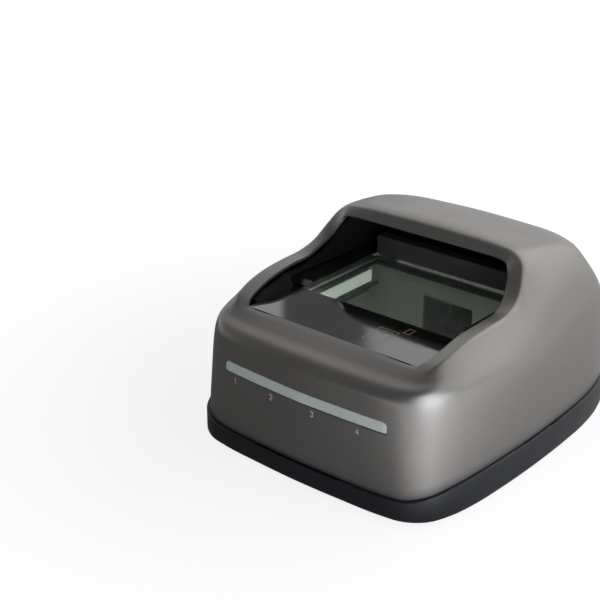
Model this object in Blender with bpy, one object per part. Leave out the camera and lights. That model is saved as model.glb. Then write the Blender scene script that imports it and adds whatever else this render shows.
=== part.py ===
"""Desktop passport reader: a painted cover with a hood over a scan glass, on a dark base tray.

Metres, +Z up. The front faces -Y. The origin is on the table under the middle of the base.
"""
import math

import bmesh
import bpy
from mathutils import Matrix, Vector

# Overall sizes
RAIL_WIDTH = 0.0393
REAR_RUN = 0.0935
HOOD_RISE = 0.0488
COVER_WALL = 0.0024
BASE_OVERHANG = 0.0024
SIDE_RISE = 0.0083
BASE_RISE = 0.0157
BASE_WALL = 0.0025
FOOT_STAND = 0.002
SEAM_GAP = 0.0005
FIT = 0.0003
OVERRUN = 0.004

# Platen
PLATEN_FRONT = 0.033
PLATEN_RISE = 0.0812
PANEL_DEPTH = 0.0475
PANEL_SIDE = 0.007
PANEL_THICK = 0.0038
PLATEN_SIDE_SHARE = 0.5
GLASS_WIDTH = 0.1294
GLASS_DEPTH = 0.088
GLASS_THICK = 0.004
GASKET_THICK = 0.0005
GASKET_BAND = 0.003
DECK_THICK = 0.0035
DECK_BORDER = 0.0036
FLANK_RUN = 0.0058
FLANK_DROP = 0.0007
FLANK_SHIFT = 0.0015

# Surface smoothing steps between the named outline points
STATION_STEPS = 2
ROW_STEPS = 2

# Outline of the cover at the seam, front centre to rear centre, as shares of half width and depth
SEAM_SHARES = (
    (0.0, 0.0, 0), (0.516, 0.03, 0), (0.921, 0.085, 0), (1.313, 0.197, 0.07), (1.618, 0.485, 0.42),
    (1.789, 0.939, 0.78), (1.898, 1.148, 0.96), (1.957, 1.347, 1), (1.987, 1.524, 1), (1.997, 1.649, 1),
    (2.0, 1.782, 1), (1.99, 1.952, 1), (1.954, 2.219, 1), (1.835, 2.519, 0.96), (1.606, 2.765, 0.7),
    (1.135, 2.92, 0.2), (0.6, 2.989, 0), (0.0, 3.0, 0))

# Belt line: half width share, depth share and rise share above the seam
BELT_SHARES = (
    (0.0, 0.139, 0.829), (0.516, 0.164, 0.829), (0.907, 0.218, 0.829), (1.224, 0.342, 0.835),
    (1.491, 0.621, 0.853), (1.669, 1.011, 0.878), (1.779, 1.166, 0.876), (1.837, 1.358, 0.863),
    (1.852, 1.524, 0.853), (1.852, 1.642, 0.853), (1.83, 1.775, 0.872), (1.771, 1.923, 0.921),
    (1.707, 2.155, 0.977), (1.656, 2.455, 0.989), (1.504, 2.69, 0.952), (1.046, 2.824, 0.927),
    (0.572, 2.877, 0.921), (0.0, 2.886, 0.921))

# Shoulder: the middle of the rail slope at the front and the top corner of the hood behind it
SHOULDER_SHARES = (
    (0.0, 0.561, 0.927), (0.516, 0.576, 0.927), (0.941, 0.621, 0.93), (1.249, 0.697, 0.94),
    (1.425, 0.912, 0.967), (1.537, 1.062, 0.991), (1.608, 1.203, 1.027), (1.649, 1.384, 1.035),
    (1.651, 1.541, 1.051), (1.613, 1.649, 1.137), (1.481, 1.753, 1.375), (1.344, 1.856, 1.633),
    (1.237, 1.996, 1.76), (1.211, 2.273, 1.732), (1.13, 2.417, 1.691), (0.837, 2.476, 1.719),
    (0.432, 2.492, 1.738), (0.0, 2.495, 1.748))

# Outer crease of the band around the opening
CREASE_SHARES = (
    (0.0, 0.894, 0.984), (0.516, 0.894, 0.984), (0.962, 0.903, 0.988), (1.198, 0.939, 1.006),
    (1.326, 1.026, 1.084), (1.389, 1.103, 1.162), (1.427, 1.236, 1.244), (1.453, 1.406, 1.281),
    (1.45, 1.554, 1.301), (1.399, 1.661, 1.404), (1.293, 1.742, 1.629), (1.16, 1.79, 1.809),
    (0.979, 1.797, 1.916), (0.809, 1.792, 1.965), (0.628, 1.79, 1.988), (0.418, 1.79, 1.994),
    (0.209, 1.79, 1.998), (0.0, 1.79, 1.998))

# Share of the swell of each station between the belt and the shoulder, and above the shoulder
SIDE_SWELL_SHARES = (1, 1, 1, 1, 0.7, 0.2, 0.2, 0.2, 0.2, 0.35, 0.6, 0.8, 1, 1, 1, 1, 1, 1)
TOP_SWELL_SHARES = (0, 0, 0, 0, 0, 0, 0, 0, 0, 0, 0.4, 0.8, 1, 1, 1, 1, 1, 1)

# Edge of the opening: half width share of the platen, depth share and rise share
RIM_SHARES = (
    (0.0, 1.0, 1.0), (0.516, 1.0, 1.0), (0.976, 1.0, 1.002), (1.059, 1.018, 1.043),
    (1.109, 1.059, 1.084), (1.148, 1.133, 1.145), (1.176, 1.258, 1.227), (1.211, 1.421, 1.264),
    (1.211, 1.554, 1.279), (1.186, 1.624, 1.371), (1.109, 1.694, 1.494), (1.033, 1.734, 1.648),
    (0.969, 1.753, 1.781), (0.837, 1.756, 1.818), (0.656, 1.756, 1.822), (0.446, 1.756, 1.822),
    (0.223, 1.756, 1.822), (0.0, 1.756, 1.822))
FLANK_STATIONS = (4, 5, 6)

# Where the rows between seam, belt, shoulder and crease lie, with their swell
LOWER_SHARE = 0.46
UNDER_BELT_SHARE = 0.88
SIDE_SHARE = 0.50
TOP_SHARE = 0.62
WALL_SWELL = 0.0009
BELT_SWELL = 0.0012
SIDE_SWELL = 0.0022
TOP_SWELL = 0.0016
FOLD_SHARE = 0.11

# Light bar and its lamps
BAR_SHORT = 0.0027
BAR_HEIGHT = 0.0071
BAR_RISE = 0.0439
BAR_PROUD = 0.0002
BAR_BACK = 0.0120
BAR_SLOTS = 14
BAR_END_SHARES = ((0, 0, 0.6), (0.007, 0, 0.88), (0.02, 0, 1))
INDICATOR_COUNT = 4
INDICATOR_PITCH_SHARE = 0.2572
INDICATOR_WIDTH = 0.0032
INDICATOR_THICK = 0.0011
BOARD_THICK = 0.0016
INDICATOR_BOARD_INSET = 0.002
INDICATOR_BOARD_HEIGHT = 0.016
PEG_WIDTH = 0.004

# Guides and rear stop
GUIDE_RISE = 0.0013
GUIDE_LEAD = 0.006
GUIDE_AHEAD = -0.006
GUIDE_BEVEL = 0.0006
STOP_HEIGHT = 0.0192
STOP_DEPTH = 0.010
STOP_BEVEL = 0.0008
STRIP_WIDTH = 0.0022
STRIP_THICK = 0.0003

# Hood liner: arch from foot to crown as shares of half width, height and mouth depth
LINER_OUTSET = 0.0158
LINER_THICK = 0.0018
LINER_LIP_COVER = 0.0061
LINER_BACK_SHARE = 0.32
LINER_CROWN_GAP = 0.0027
LINER_BACK_HEIGHT_SHARE = 0.87
LINER_BACK_WIDTH_SHARE = 0.925
LINER_SHARES = (
    (1.0, 0.0, 0.0), (0.997, 0.165, 0.0), (0.990, 0.205, 0.44), (0.975, 0.33, 0.72),
    (0.952, 0.49, 0.84), (0.920, 0.67, 0.95), (0.880, 0.82, 1.0), (0.825, 0.925, 1.0),
    (0.740, 0.985, 1.0), (0.45, 1.0, 1.0), (0.0, 1.0, 1.0))

# Optical chamber, mirror and camera
CHAMBER_SIDE = 0.0073
CHAMBER_AHEAD = 0.0061
CHAMBER_BEHIND = 0.0059
CHAMBER_FLOOR_RISE = 0.0065
CHAMBER_WALL = 0.002
CHAMBER_FLANGE = 0.006
LEG_RADIUS = 0.004
LEG_INSET = 0.010
LENS_WINDOW_WIDTH = 0.044
LENS_WINDOW_HEIGHT = 0.036
OPTICAL_AXIS_SHARE = 0.4433
MIRROR_SIDE_GAP = 0.011
MIRROR_LENGTH_SHARE = 1.1136
MIRROR_RISE_SHARE = 1.24
MIRROR_THICK = 0.003
WEDGE_WIDTH = 0.006
WEDGE_RUN_SHARE = 0.7143
BRACKET_WIDTH = 0.052
BRACKET_THICK = 0.0015
BRACKET_HEIGHT = 0.046
BRACKET_DEPTH = 0.0265
CAMERA_BOARD_SIZE = 0.038
SPACER_RADIUS = 0.0025
SPACER_LENGTH = 0.003
SPACER_INSET = 0.004
HOLDER_SIZE = 0.018
HOLDER_LENGTH = 0.0115
BARREL_RADIUS = 0.007
BARREL_LENGTH = 0.015
BARREL_TIP_RADIUS = 0.0055
BARREL_TIP_LENGTH = 0.003

# Lamps at the sides of the glass
LAMP_BOARD_INSET = 0.004
LAMP_BOARD_HEIGHT = 0.018
LAMP_DROP = 0.006
LAMP_COUNT = 6
LAMP_SIZE = 0.0035
LAMP_THICK = 0.0010
DIFFUSER_THICK = 0.0012

# Antenna board and document sensor
ANTENNA_BAND = 0.008
ANTENNA_THICK = 0.0010
SENSOR_WIDTH = 0.010
SENSOR_DEPTH = 0.005
SENSOR_HEIGHT = 0.006
SENSOR_OFFSET = 0.026

# Main board and what stands on it
MAIN_BOARD_WIDTH = 0.136
MAIN_BOARD_BEHIND = 0.012
MAIN_BOARD_GAP = 0.0057
MAIN_BOARD_RISE = 0.0062
STANDOFF_RADIUS = 0.003
STANDOFF_BORE = 0.0016
SCREW_SHANK_RADIUS = 0.0013
SCREW_HEAD_RADIUS = 0.0026
SCREW_HEAD_HEIGHT = 0.0016
SCREW_SHANK_DROP = 0.0045
STANDOFF_INSET = 0.005
PROCESSOR_SIZE = 0.022
PROCESSOR_THICK = 0.0018
PROCESSOR_OFFSET_SHARE = 0.2794
SINK_SIZE = 0.026
SINK_BASE = 0.0025
SINK_HEIGHT = 0.011
SINK_FINS = 6
SINK_FIN_SHARE = 0.45
BUZZER_RADIUS = 0.006
BUZZER_HEIGHT = 0.0075
BUZZER_OFFSET_SHARE = 0.3382
CAPACITOR_RADIUS = 0.004
CAPACITOR_HEIGHT = 0.010
CAPACITOR_OFFSET_SHARE = 0.0588
HEADER_WIDTH = 0.020
HEADER_DEPTH = 0.006
HEADER_HEIGHT = 0.006

# Rear panel, sockets and power rocker
PANEL_SETBACK = 0.0102
REAR_PANEL_WIDTH = 0.108
REAR_PANEL_THICK = 0.0018
REAR_PANEL_HEIGHT = 0.039
PORT_WIDTH = 0.092
PORT_HEIGHT = 0.020
PORT_RISE = 0.0045
IO_BOARD_SETBACK = 0.0075
IO_BOARD_HEIGHT = 0.036
IO_BOARD_WIDTH = 0.088
USB_WIDTH = 0.012
USB_HEIGHT = 0.0112
USB_WALL = 0.0014
USB_TONGUE = 0.0030
USB_TONGUE_SIDE_GAP = 0.0018
USB_OFFSET = 0.002
USB_DEEP = 0.0060
JACK_SIZE = 0.0095
JACK_HEIGHT = 0.011
JACK_BORE = 0.0030
JACK_PIN = 0.0010
JACK_OFFSET = 0.030
SWITCH_WIDTH = 0.019
SWITCH_DEPTH = 0.014
SWITCH_OFFSET = -0.030
SWITCH_LIP = 0.0015
SWITCH_LIP_THICK = 0.0015
SWITCH_WALL = 0.0016
ROCKER_SWING_DEGREES = 18
ROCKER_HALF = 0.0047
ROCKER_FACE = 0.0034
ROCKER_DIP = 0.0010
ROCKER_HEEL = 0.0026
ROCKER_SIDE_GAP = 0.0004
ROCKER_PIVOT_IN = 0.0022
ROCKER_PIN_RADIUS = 0.0011
ROCKER_PIN_LENGTH = 0.0009

# Base fastenings
BOSS_WIDTH = 0.009
BOSS_RISE = 0.010
BOSS_BORE = 0.0017
BOSS_FRONT = 0.052
BOSS_REAR_SETBACK = 0.072
BOSS_EMBED = 0.0004
COLUMN_RADIUS = 0.0055
BASE_SCREW_RADIUS = 0.0014
BASE_HEAD_RADIUS = 0.0029
BASE_HEAD_HEIGHT = 0.0022
BASE_HEAD_RECESS = 0.005
FOOT_RADIUS = 0.0085
FOOT_RECESS = 0.0010
FOOT_SIDE_INSET = 0.026
FOOT_FRONT_INSET = 0.034
FOOT_REAR_INSET = 0.030
TONGUE_RISE = 0.0020
TONGUE_GAP = 0.0012
TONGUE_WALL = 0.0012
BASE_CURVE = 0.0035
BASE_HEM = 0.0050
VENT_LENGTH = 0.030
VENT_WIDTH = 0.0022
VENT_PITCH = 0.0062
VENT_COUNT = 7

# Deck screws
DECK_SCREW_HEAD = 0.0026
DECK_SCREW_INSET = 0.0025
DECK_SCREW_SHANK = 0.0011
DECK_SCREW_HEAD_HEIGHT = 0.0014

# Leads
LEAD_RADIUS = 0.0012
RIBBON_WIDTH = 0.016
RIBBON_THICK = 0.0004
RIBBON_SLACK = 0.0060

# Derived levels and places
SEAM_Z = FOOT_STAND + BASE_RISE
PLATEN_Z = SEAM_Z + PLATEN_RISE
BOSS_Z = SEAM_Z + SIDE_RISE
PLATEN_DEPTH = PANEL_DEPTH + GLASS_DEPTH
COVER_DEPTH = PLATEN_FRONT + PLATEN_DEPTH + REAR_RUN
FRONT = -COVER_DEPTH / 2
GLASS_HALF = GLASS_WIDTH / 2
PANEL_HALF = GLASS_HALF + PANEL_SIDE
COVER_HALF = PANEL_HALF + RAIL_WIDTH
BAR_WIDTH = PANEL_HALF - BAR_SHORT + PANEL_HALF - BAR_SHORT
INDICATOR_PITCH = BAR_WIDTH * INDICATOR_PITCH_SHARE
INDICATOR_BOARD_WIDTH = BAR_WIDTH - INDICATOR_BOARD_INSET - INDICATOR_BOARD_INSET
LINER_HALF = PANEL_HALF + LINER_OUTSET
LINER_HEIGHT = HOOD_RISE - LINER_CROWN_GAP
PANEL_FRONT_Y = FRONT + PLATEN_FRONT + FIT
PANEL_BACK_Y = PANEL_FRONT_Y + PANEL_DEPTH
GLASS_FRONT_Y = PANEL_BACK_Y + FIT
GLASS_BACK_Y = GLASS_FRONT_Y + GLASS_DEPTH
STOP_FRONT_Y = GLASS_BACK_Y + FIT
DECK_TOP = PLATEN_Z - max(PANEL_THICK, GLASS_THICK) - GASKET_THICK - FIT
DECK_BOTTOM = DECK_TOP - DECK_THICK
GUIDE_IN = GLASS_HALF + FIT
GUIDE_OUT = LINER_HALF * LINER_BACK_WIDTH_SHARE - LINER_THICK - FIT
LINER_FRONT_Y = PANEL_BACK_Y + FIT
LINER_BACK_Y = GLASS_BACK_Y + REAR_RUN * LINER_BACK_SHARE
FLOOR_Z = FOOT_STAND + BASE_WALL
CHAMBER_Z = FLOOR_Z + CHAMBER_FLOOR_RISE
CHAMBER_TOP = DECK_BOTTOM - FIT
CHAMBER_FRONT_Y = GLASS_FRONT_Y - CHAMBER_AHEAD
CHAMBER_BACK_Y = GLASS_BACK_Y + CHAMBER_BEHIND
CHAMBER_HALF = GLASS_HALF + CHAMBER_SIDE
AXIS_Z = SEAM_Z + PLATEN_RISE * OPTICAL_AXIS_SHARE
MIRROR_Y = (CHAMBER_FRONT_Y + CHAMBER_BACK_Y) / 2
MIRROR_HALF = CHAMBER_HALF - CHAMBER_WALL - MIRROR_SIDE_GAP
MIRROR_LENGTH = min(GLASS_DEPTH * MIRROR_LENGTH_SHARE, (CHAMBER_TOP - CHAMBER_Z) * MIRROR_RISE_SHARE)
WEDGE_RUN = MIRROR_LENGTH * WEDGE_RUN_SHARE
LAMP_BOARD_LENGTH = GLASS_DEPTH - LAMP_BOARD_INSET - LAMP_BOARD_INSET
MAIN_BOARD_Z = FLOOR_Z + MAIN_BOARD_RISE
MAIN_TOP = MAIN_BOARD_Z + BOARD_THICK
MAIN_FRONT_Y = CHAMBER_BACK_Y + MAIN_BOARD_BEHIND
REAR_PANEL_Y = COVER_DEPTH / 2 - PANEL_SETBACK
IO_BOARD_Y = REAR_PANEL_Y - IO_BOARD_SETBACK
MAIN_BOARD_DEPTH = IO_BOARD_Y - BOARD_THICK - MAIN_BOARD_GAP - MAIN_FRONT_Y
PROCESSOR_OFFSET = MAIN_BOARD_WIDTH * PROCESSOR_OFFSET_SHARE
BUZZER_OFFSET = MAIN_BOARD_WIDTH * BUZZER_OFFSET_SHARE
CAPACITOR_OFFSET = MAIN_BOARD_WIDTH * CAPACITOR_OFFSET_SHARE
PORT_LOW = SEAM_Z + PORT_RISE
PORT_MID = PORT_LOW + PORT_HEIGHT / 2


CORNERS = ("front_left", "front_right", "rear_left", "rear_right")


def clear_scene():
    for item in list(bpy.data.objects):
        bpy.data.objects.remove(item, do_unlink=True)


def make_material(name, colour, roughness, metallic=0.0, alpha=1.0):
    material = bpy.data.materials.new(name)
    material.use_nodes = True
    shader = material.node_tree.nodes["Principled BSDF"]
    shader.inputs["Base Color"].default_value = (*colour, 1.0)
    shader.inputs["Roughness"].default_value = roughness
    shader.inputs["Metallic"].default_value = metallic
    shader.inputs["Alpha"].default_value = alpha
    material.diffuse_color = (*colour, alpha)
    return material


def cover_paint():
    return make_material("cover_paint", (0.235, 0.235, 0.245), 0.38, 0.55)


def tray_plastic():
    return make_material("tray_plastic", (0.022, 0.024, 0.028), 0.42)


def gloss_black(name):
    return make_material(name, (0.010, 0.010, 0.010), 0.10)


def matte_black(name):
    return make_material(name, (0.014, 0.014, 0.015), 0.62)


def clear_glass():
    return make_material("clear_glass", (0.62, 0.70, 0.64), 0.03, 0.0, 0.35)


def frosted_light():
    return make_material("frosted_light", (0.28, 0.33, 0.29), 0.45)


def board_green(name):
    return make_material(name, (0.02, 0.14, 0.06), 0.45)


def steel(name):
    return make_material(name, (0.56, 0.57, 0.58), 0.30, 1.0)


def rubber(name):
    return make_material(name, (0.012, 0.012, 0.012), 0.85)


def add_object(name, mesh, material=None):
    item = bpy.data.objects.new(name, mesh)
    bpy.context.scene.collection.objects.link(item)
    if material is not None:
        mesh.materials.append(material)
    return item


def mesh_object(name, verts, faces, material=None):
    mesh = bpy.data.meshes.new(name)
    mesh.from_pydata([tuple(v) for v in verts], [], faces)
    mesh.update()
    shape = bmesh.new()
    shape.from_mesh(mesh)
    bmesh.ops.recalc_face_normals(shape, faces=shape.faces)
    shape.to_mesh(mesh)
    shape.free()
    return add_object(name, mesh, material)


def block_parts(x0, x1, y0, y1, z0, z1):
    verts = [(x, y, z) for x in (x0, x1) for y in (y0, y1) for z in (z0, z1)]
    faces = [(0, 1, 3, 2), (4, 6, 7, 5), (0, 4, 5, 1), (2, 3, 7, 6), (0, 2, 6, 4), (1, 5, 7, 3)]
    return verts, faces


def disc_parts(centre, radius, z0, z1, sides=16):
    verts = []
    for z in (z0, z1):
        for k in range(sides):
            angle = math.tau * k / sides
            verts.append((centre[0] + radius * math.cos(angle), centre[1] + radius * math.sin(angle), z))
    faces = [tuple(reversed(range(sides))), tuple(range(sides, sides + sides))]
    for k in range(sides):
        after = (k + 1) % sides
        faces.append((k, after, sides + after, sides + k))
    return verts, faces


def merged(name, shapes, material=None):
    verts = []
    faces = []
    for part_verts, part_faces in shapes:
        start = len(verts)
        verts.extend(part_verts)
        faces.extend(tuple(start + k for k in face) for face in part_faces)
    return mesh_object(name, verts, faces, material)


def turned_along(shape, axis):
    swap = {"x": Matrix.Rotation(math.pi / 2, 4, "Y"), "y": Matrix.Rotation(-math.pi / 2, 4, "X")}[axis]
    return [tuple(swap @ Vector(v)) for v in shape[0]], shape[1]


def moved(shape, x, y, z):
    return [(v[0] + x, v[1] + y, v[2] + z) for v in shape[0]], shape[1]


def rod_along_y(centre_x, centre_z, radius, y0, y1, sides=16):
    verts, faces = turned_along(disc_parts((0, 0), radius, y0, y1, sides), "y")
    return moved((verts, faces), centre_x, 0, centre_z)


def rod_along_x(centre_y, centre_z, radius, x0, x1, sides=12):
    verts, faces = turned_along(disc_parts((0, 0), radius, x0, x1, sides), "x")
    return moved((verts, faces), 0, centre_y, centre_z)


def prism_along_x(outline, x0, x1):
    count = len(outline)
    verts = [(x, y, z) for x in (x0, x1) for y, z in outline]
    faces = [tuple(range(count)), tuple(reversed(range(count, count + count)))]
    for k in range(count):
        after = (k + 1) % count
        faces.append((k, count + k, count + after, after))
    return verts, faces


def prism_along_z(outline, z0, z1):
    count = len(outline)
    verts = [(x, y, z) for z in (z0, z1) for x, y in outline]
    faces = [tuple(range(count)), tuple(reversed(range(count, count + count)))]
    for k in range(count):
        after = (k + 1) % count
        faces.append((k, count + k, count + after, after))
    return verts, faces


def use_boolean(item, other, operation):
    other.hide_render = True
    other.display_type = "WIRE"
    step = item.modifiers.new(other.name, "BOOLEAN")
    step.object = other
    step.operation = operation
    step.solver = "EXACT"


def cut(item, other):
    use_boolean(item, other, "DIFFERENCE")


def fuse(item, other):
    use_boolean(item, other, "UNION")


def shade(item, degrees=35):
    item.data.shade_smooth()
    item.data.set_sharp_from_angle(angle=math.radians(degrees))


def bevel_edges(item, width, segments=2):
    step = item.modifiers.new("edge", "BEVEL")
    step.width = width
    step.segments = segments
    step.limit_method = "ANGLE"


def curve_point(before, start, end, after, share):
    """Point between start and end on the smooth curve through four points."""
    def knot(value, a, b):
        return value + max((b - a).length, 1e-9) ** 0.5
    t0 = 0.0
    t1 = knot(t0, before, start)
    t2 = knot(t1, start, end)
    t3 = knot(t2, end, after)
    t = t1 + (t2 - t1) * share
    a1 = before * ((t1 - t) / (t1 - t0)) + start * ((t - t0) / (t1 - t0))
    a2 = start * ((t2 - t) / (t2 - t1)) + end * ((t - t1) / (t2 - t1))
    a3 = end * ((t3 - t) / (t3 - t2)) + after * ((t - t2) / (t3 - t2))
    b1 = a1 * ((t2 - t) / (t2 - t0)) + a2 * ((t - t0) / (t2 - t0))
    b2 = a2 * ((t3 - t) / (t3 - t1)) + a3 * ((t - t1) / (t3 - t1))
    return b1 * ((t2 - t) / (t2 - t1)) + b2 * ((t - t1) / (t2 - t1))


def smooth_line(points, steps, closed):
    count = len(points)
    result = []
    for k in range(count if closed else count - 1):
        start = points[k]
        end = points[(k + 1) % count]
        before = points[k - 1] if closed or k else start * 2 - end
        after = points[(k + 2) % count] if closed or k + 2 < count else end * 2 - start
        for step in range(steps):
            result.append(curve_point(before, start, end, after, step / steps))
    if not closed:
        result.append(points[-1].copy())
    return result


def between(start, end, share):
    return start * (1 - share) + end * share


def swell_from(point, centre, amount):
    away = point - centre
    return point + away.normalized() * amount


def across(share):
    """Distance from the centre line: 0 to 1 over the platen, 1 to 2 over the rail beside it."""
    return PANEL_HALF * min(share, 1) + RAIL_WIDTH * max(share - 1, 0)


def along(share):
    """Depth: 0 to 1 before the platen, 1 to 2 along it, 2 to 3 behind the glass."""
    return (FRONT + PLATEN_FRONT * min(share, 1) + PLATEN_DEPTH * min(max(share - 1, 0), 1)
            + REAR_RUN * max(share - 2, 0))


def upward(share):
    """Height: 0 to 1 from the seam to the platen, 1 to 2 from there to the top of the hood."""
    return SEAM_Z + PLATEN_RISE * min(share, 1) + HOOD_RISE * max(share - 1, 0)


def cover_profile(k):
    """Outer surface of the cover at one station, from the seam up to the edge of the opening."""
    seam = Vector((across(SEAM_SHARES[k][0]), along(SEAM_SHARES[k][1]), SEAM_Z + SIDE_RISE * SEAM_SHARES[k][2]))
    belt, shoulder, crease, rim = [Vector((across(table[k][0]), along(table[k][1]), upward(table[k][2])))
                                   for table in (BELT_SHARES, SHOULDER_SHARES, CREASE_SHARES, RIM_SHARES)]
    heart = Vector((0, (seam.y + rim.y) / 2, belt.z))
    lower = swell_from(between(seam, belt, LOWER_SHARE), heart, WALL_SWELL)
    under = swell_from(between(seam, belt, UNDER_BELT_SHARE), heart, BELT_SWELL)
    low_heart = Vector((0, FRONT + COVER_DEPTH / 2, SEAM_Z))
    side = swell_from(between(belt, shoulder, SIDE_SHARE), low_heart, SIDE_SWELL * SIDE_SWELL_SHARES[k])
    top = swell_from(between(shoulder, crease, TOP_SHARE), low_heart, TOP_SWELL * TOP_SWELL_SHARES[k])
    before = between(crease, top, FOLD_SHARE)
    after = between(crease, rim, FOLD_SHARE + FOLD_SHARE)
    return [seam, lower, under, belt, side, shoulder, top, before, after, rim]


def mirrored(point):
    return Vector((-point.x, point.y, point.z))


def cover_loops(station_steps, row_steps):
    """Rows of points round the whole cover: rows[r][s]."""
    last = len(SEAM_SHARES) - 1
    half = [cover_profile(k) for k in range(last + 1)]
    full = half + [[mirrored(p) for p in half[k]] for k in range(last - 1, 0, -1)]
    refined = [smooth_line(profile, row_steps, False) for profile in full]
    rows = []
    for r in range(len(refined[0])):
        rows.append(smooth_line([profile[r] for profile in refined], station_steps, True))
    return rows


def seam_loop(steps):
    """Lower edge of the cover as a closed list of points, each with its rise above the front edge."""
    last = len(SEAM_SHARES) - 1
    half = [Vector((across(x), along(y), SIDE_RISE * lift)) for x, y, lift in SEAM_SHARES]
    full = half + [mirrored(half[k]) for k in range(last - 1, 0, -1)]
    return smooth_line(full, steps, True)


def inset_loop(loop, amount):
    count = len(loop)
    result = []
    for k in range(count):
        run = loop[(k + 1) % count] - loop[k - 1]
        inward = Vector((-run.y, run.x, 0.0)).normalized()
        result.append(loop[k] + inward * amount)
    return result


def at_height(loop, z):
    return [Vector((p.x, p.y, z)) for p in loop]


def at_seam(loop, z):
    """Loop that keeps the rise of the cover's lower edge."""
    return [Vector((p.x, p.y, p.z + z)) for p in loop]


def skin_faces(rows, wrap_start=0):
    count = len(rows[0])
    faces = []
    for r in range(len(rows) - 1):
        for s in range(count):
            after = (s + 1) % count
            a = wrap_start + r * count
            faces.append((a + s, a + after, a + count + after, a + count + s))
    return faces


def side_of_seam(y):
    """Half width of the plan outline at one depth."""
    loop = seam_loop(STATION_STEPS)
    right = [p for p in loop if p.x > 0]
    best = COVER_HALF
    for first, second in zip(right, right[1:]):
        if (first.y - y) * (second.y - y) <= 0 and first.y != second.y:
            best = first.x + (second.x - first.x) * (y - first.y) / (second.y - first.y)
    return best


def fascia_y(x, z):
    """Depth of the front skin at one height and distance from the centre line."""
    last = len(SEAM_SHARES) - 1
    half = [smooth_line(cover_profile(k), ROW_STEPS, False) for k in range(0, last // 2)]
    line = []
    for profile in half:
        for low, high in zip(profile, profile[1:]):
            if low.z <= z <= high.z:
                line.append(between(low, high, (z - low.z) / (high.z - low.z)))
                break
    for first, second in zip(line, line[1:]):
        if first.x <= abs(x) <= second.x:
            return first.y + (second.y - first.y) * (abs(x) - first.x) / (second.x - first.x)
    return line[0].y


def bar_outline(clearance):
    """Stations along the light bar: x, low z and high z, with sloped round ends."""
    low = SEAM_Z + BAR_RISE - clearance
    high = low + BAR_HEIGHT + clearance * 2
    half = BAR_WIDTH / 2 + clearance
    stations = []
    for share, low_share, high_share in BAR_END_SHARES:
        stations.append((-half + share * BAR_WIDTH, low + (high - low) * low_share,
                         low + (high - low) * high_share))
    inner = half - BAR_END_SHARES[-1][0] * BAR_WIDTH
    for k in range(1, BAR_SLOTS):
        stations.append((-inner + (inner + inner) * k / BAR_SLOTS, low, high))
    for share, low_share, high_share in reversed(BAR_END_SHARES):
        stations.append((half - share * BAR_WIDTH, low + (high - low) * low_share,
                         low + (high - low) * high_share))
    return stations


def bar_shape(proud, back_y, clearance):
    verts = []
    faces = []
    stations = bar_outline(clearance)
    for x, low, high in stations:
        verts.extend([(x, fascia_y(x, low) - proud, low), (x, fascia_y(x, high) - proud, high),
                      (x, back_y, high), (x, back_y, low)])
    for k in range(len(stations) - 1):
        a = 4 * k
        for c in range(4):
            d = (c + 1) % 4
            faces.append((a + c, a + d, a + 4 + d, a + 4 + c))
    faces.append((3, 2, 1, 0))
    a = 4 * (len(stations) - 1)
    faces.append((a, a + 1, a + 2, a + 3))
    return verts, faces


def boss_places():
    places = []
    for y in (FRONT + BOSS_FRONT, COVER_DEPTH / 2 - BOSS_REAR_SETBACK):
        outer = side_of_seam(y) - COVER_WALL + BOSS_EMBED
        for side in (-1, 1):
            places.append((side, outer, y))
    return places


def make_upper_cover():
    rows = cover_loops(STATION_STEPS, ROW_STEPS)
    verts = [p for row in rows for p in row]
    item = mesh_object("upper_cover", verts, skin_faces(rows), cover_paint())
    wall = item.modifiers.new("wall", "SOLIDIFY")
    wall.thickness = COVER_WALL
    wall.offset = -1
    wall.use_even_offset = True
    bosses = []
    bores = []
    for side, outer, y in boss_places():
        inner = outer - BOSS_WIDTH
        bosses.append(block_parts(min(side * inner, side * outer), max(side * inner, side * outer),
                                  y - BOSS_WIDTH / 2, y + BOSS_WIDTH / 2, BOSS_Z, BOSS_Z + BOSS_RISE))
        centre = side * (inner + BOSS_WIDTH / 2)
        bores.append(disc_parts((centre, y), BOSS_BORE, BOSS_Z - OVERRUN, BOSS_Z + BOSS_RISE - BASE_WALL, 10))
    fuse(item, merged("cover_bosses", bosses))
    cut(item, merged("boss_bores", bores))
    edge = PANEL_HALF + FIT
    opening = block_parts(-edge, edge, FRONT + PLATEN_FRONT, LINER_FRONT_Y, DECK_BOTTOM - OVERRUN,
                          PLATEN_Z + HOOD_RISE)
    cut(item, merged("platen_opening", [opening]))
    slot = merged("bar_slot", [bar_shape(OVERRUN, FRONT + BAR_BACK, FIT)])
    cut(item, slot)
    half = PORT_WIDTH / 2
    port = merged("port_window", [block_parts(-half, half, REAR_PANEL_Y, COVER_DEPTH / 2 + OVERRUN, PORT_LOW,
                                              PORT_LOW + PORT_HEIGHT)])
    cut(item, port)
    shade(item)
    return item


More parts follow.
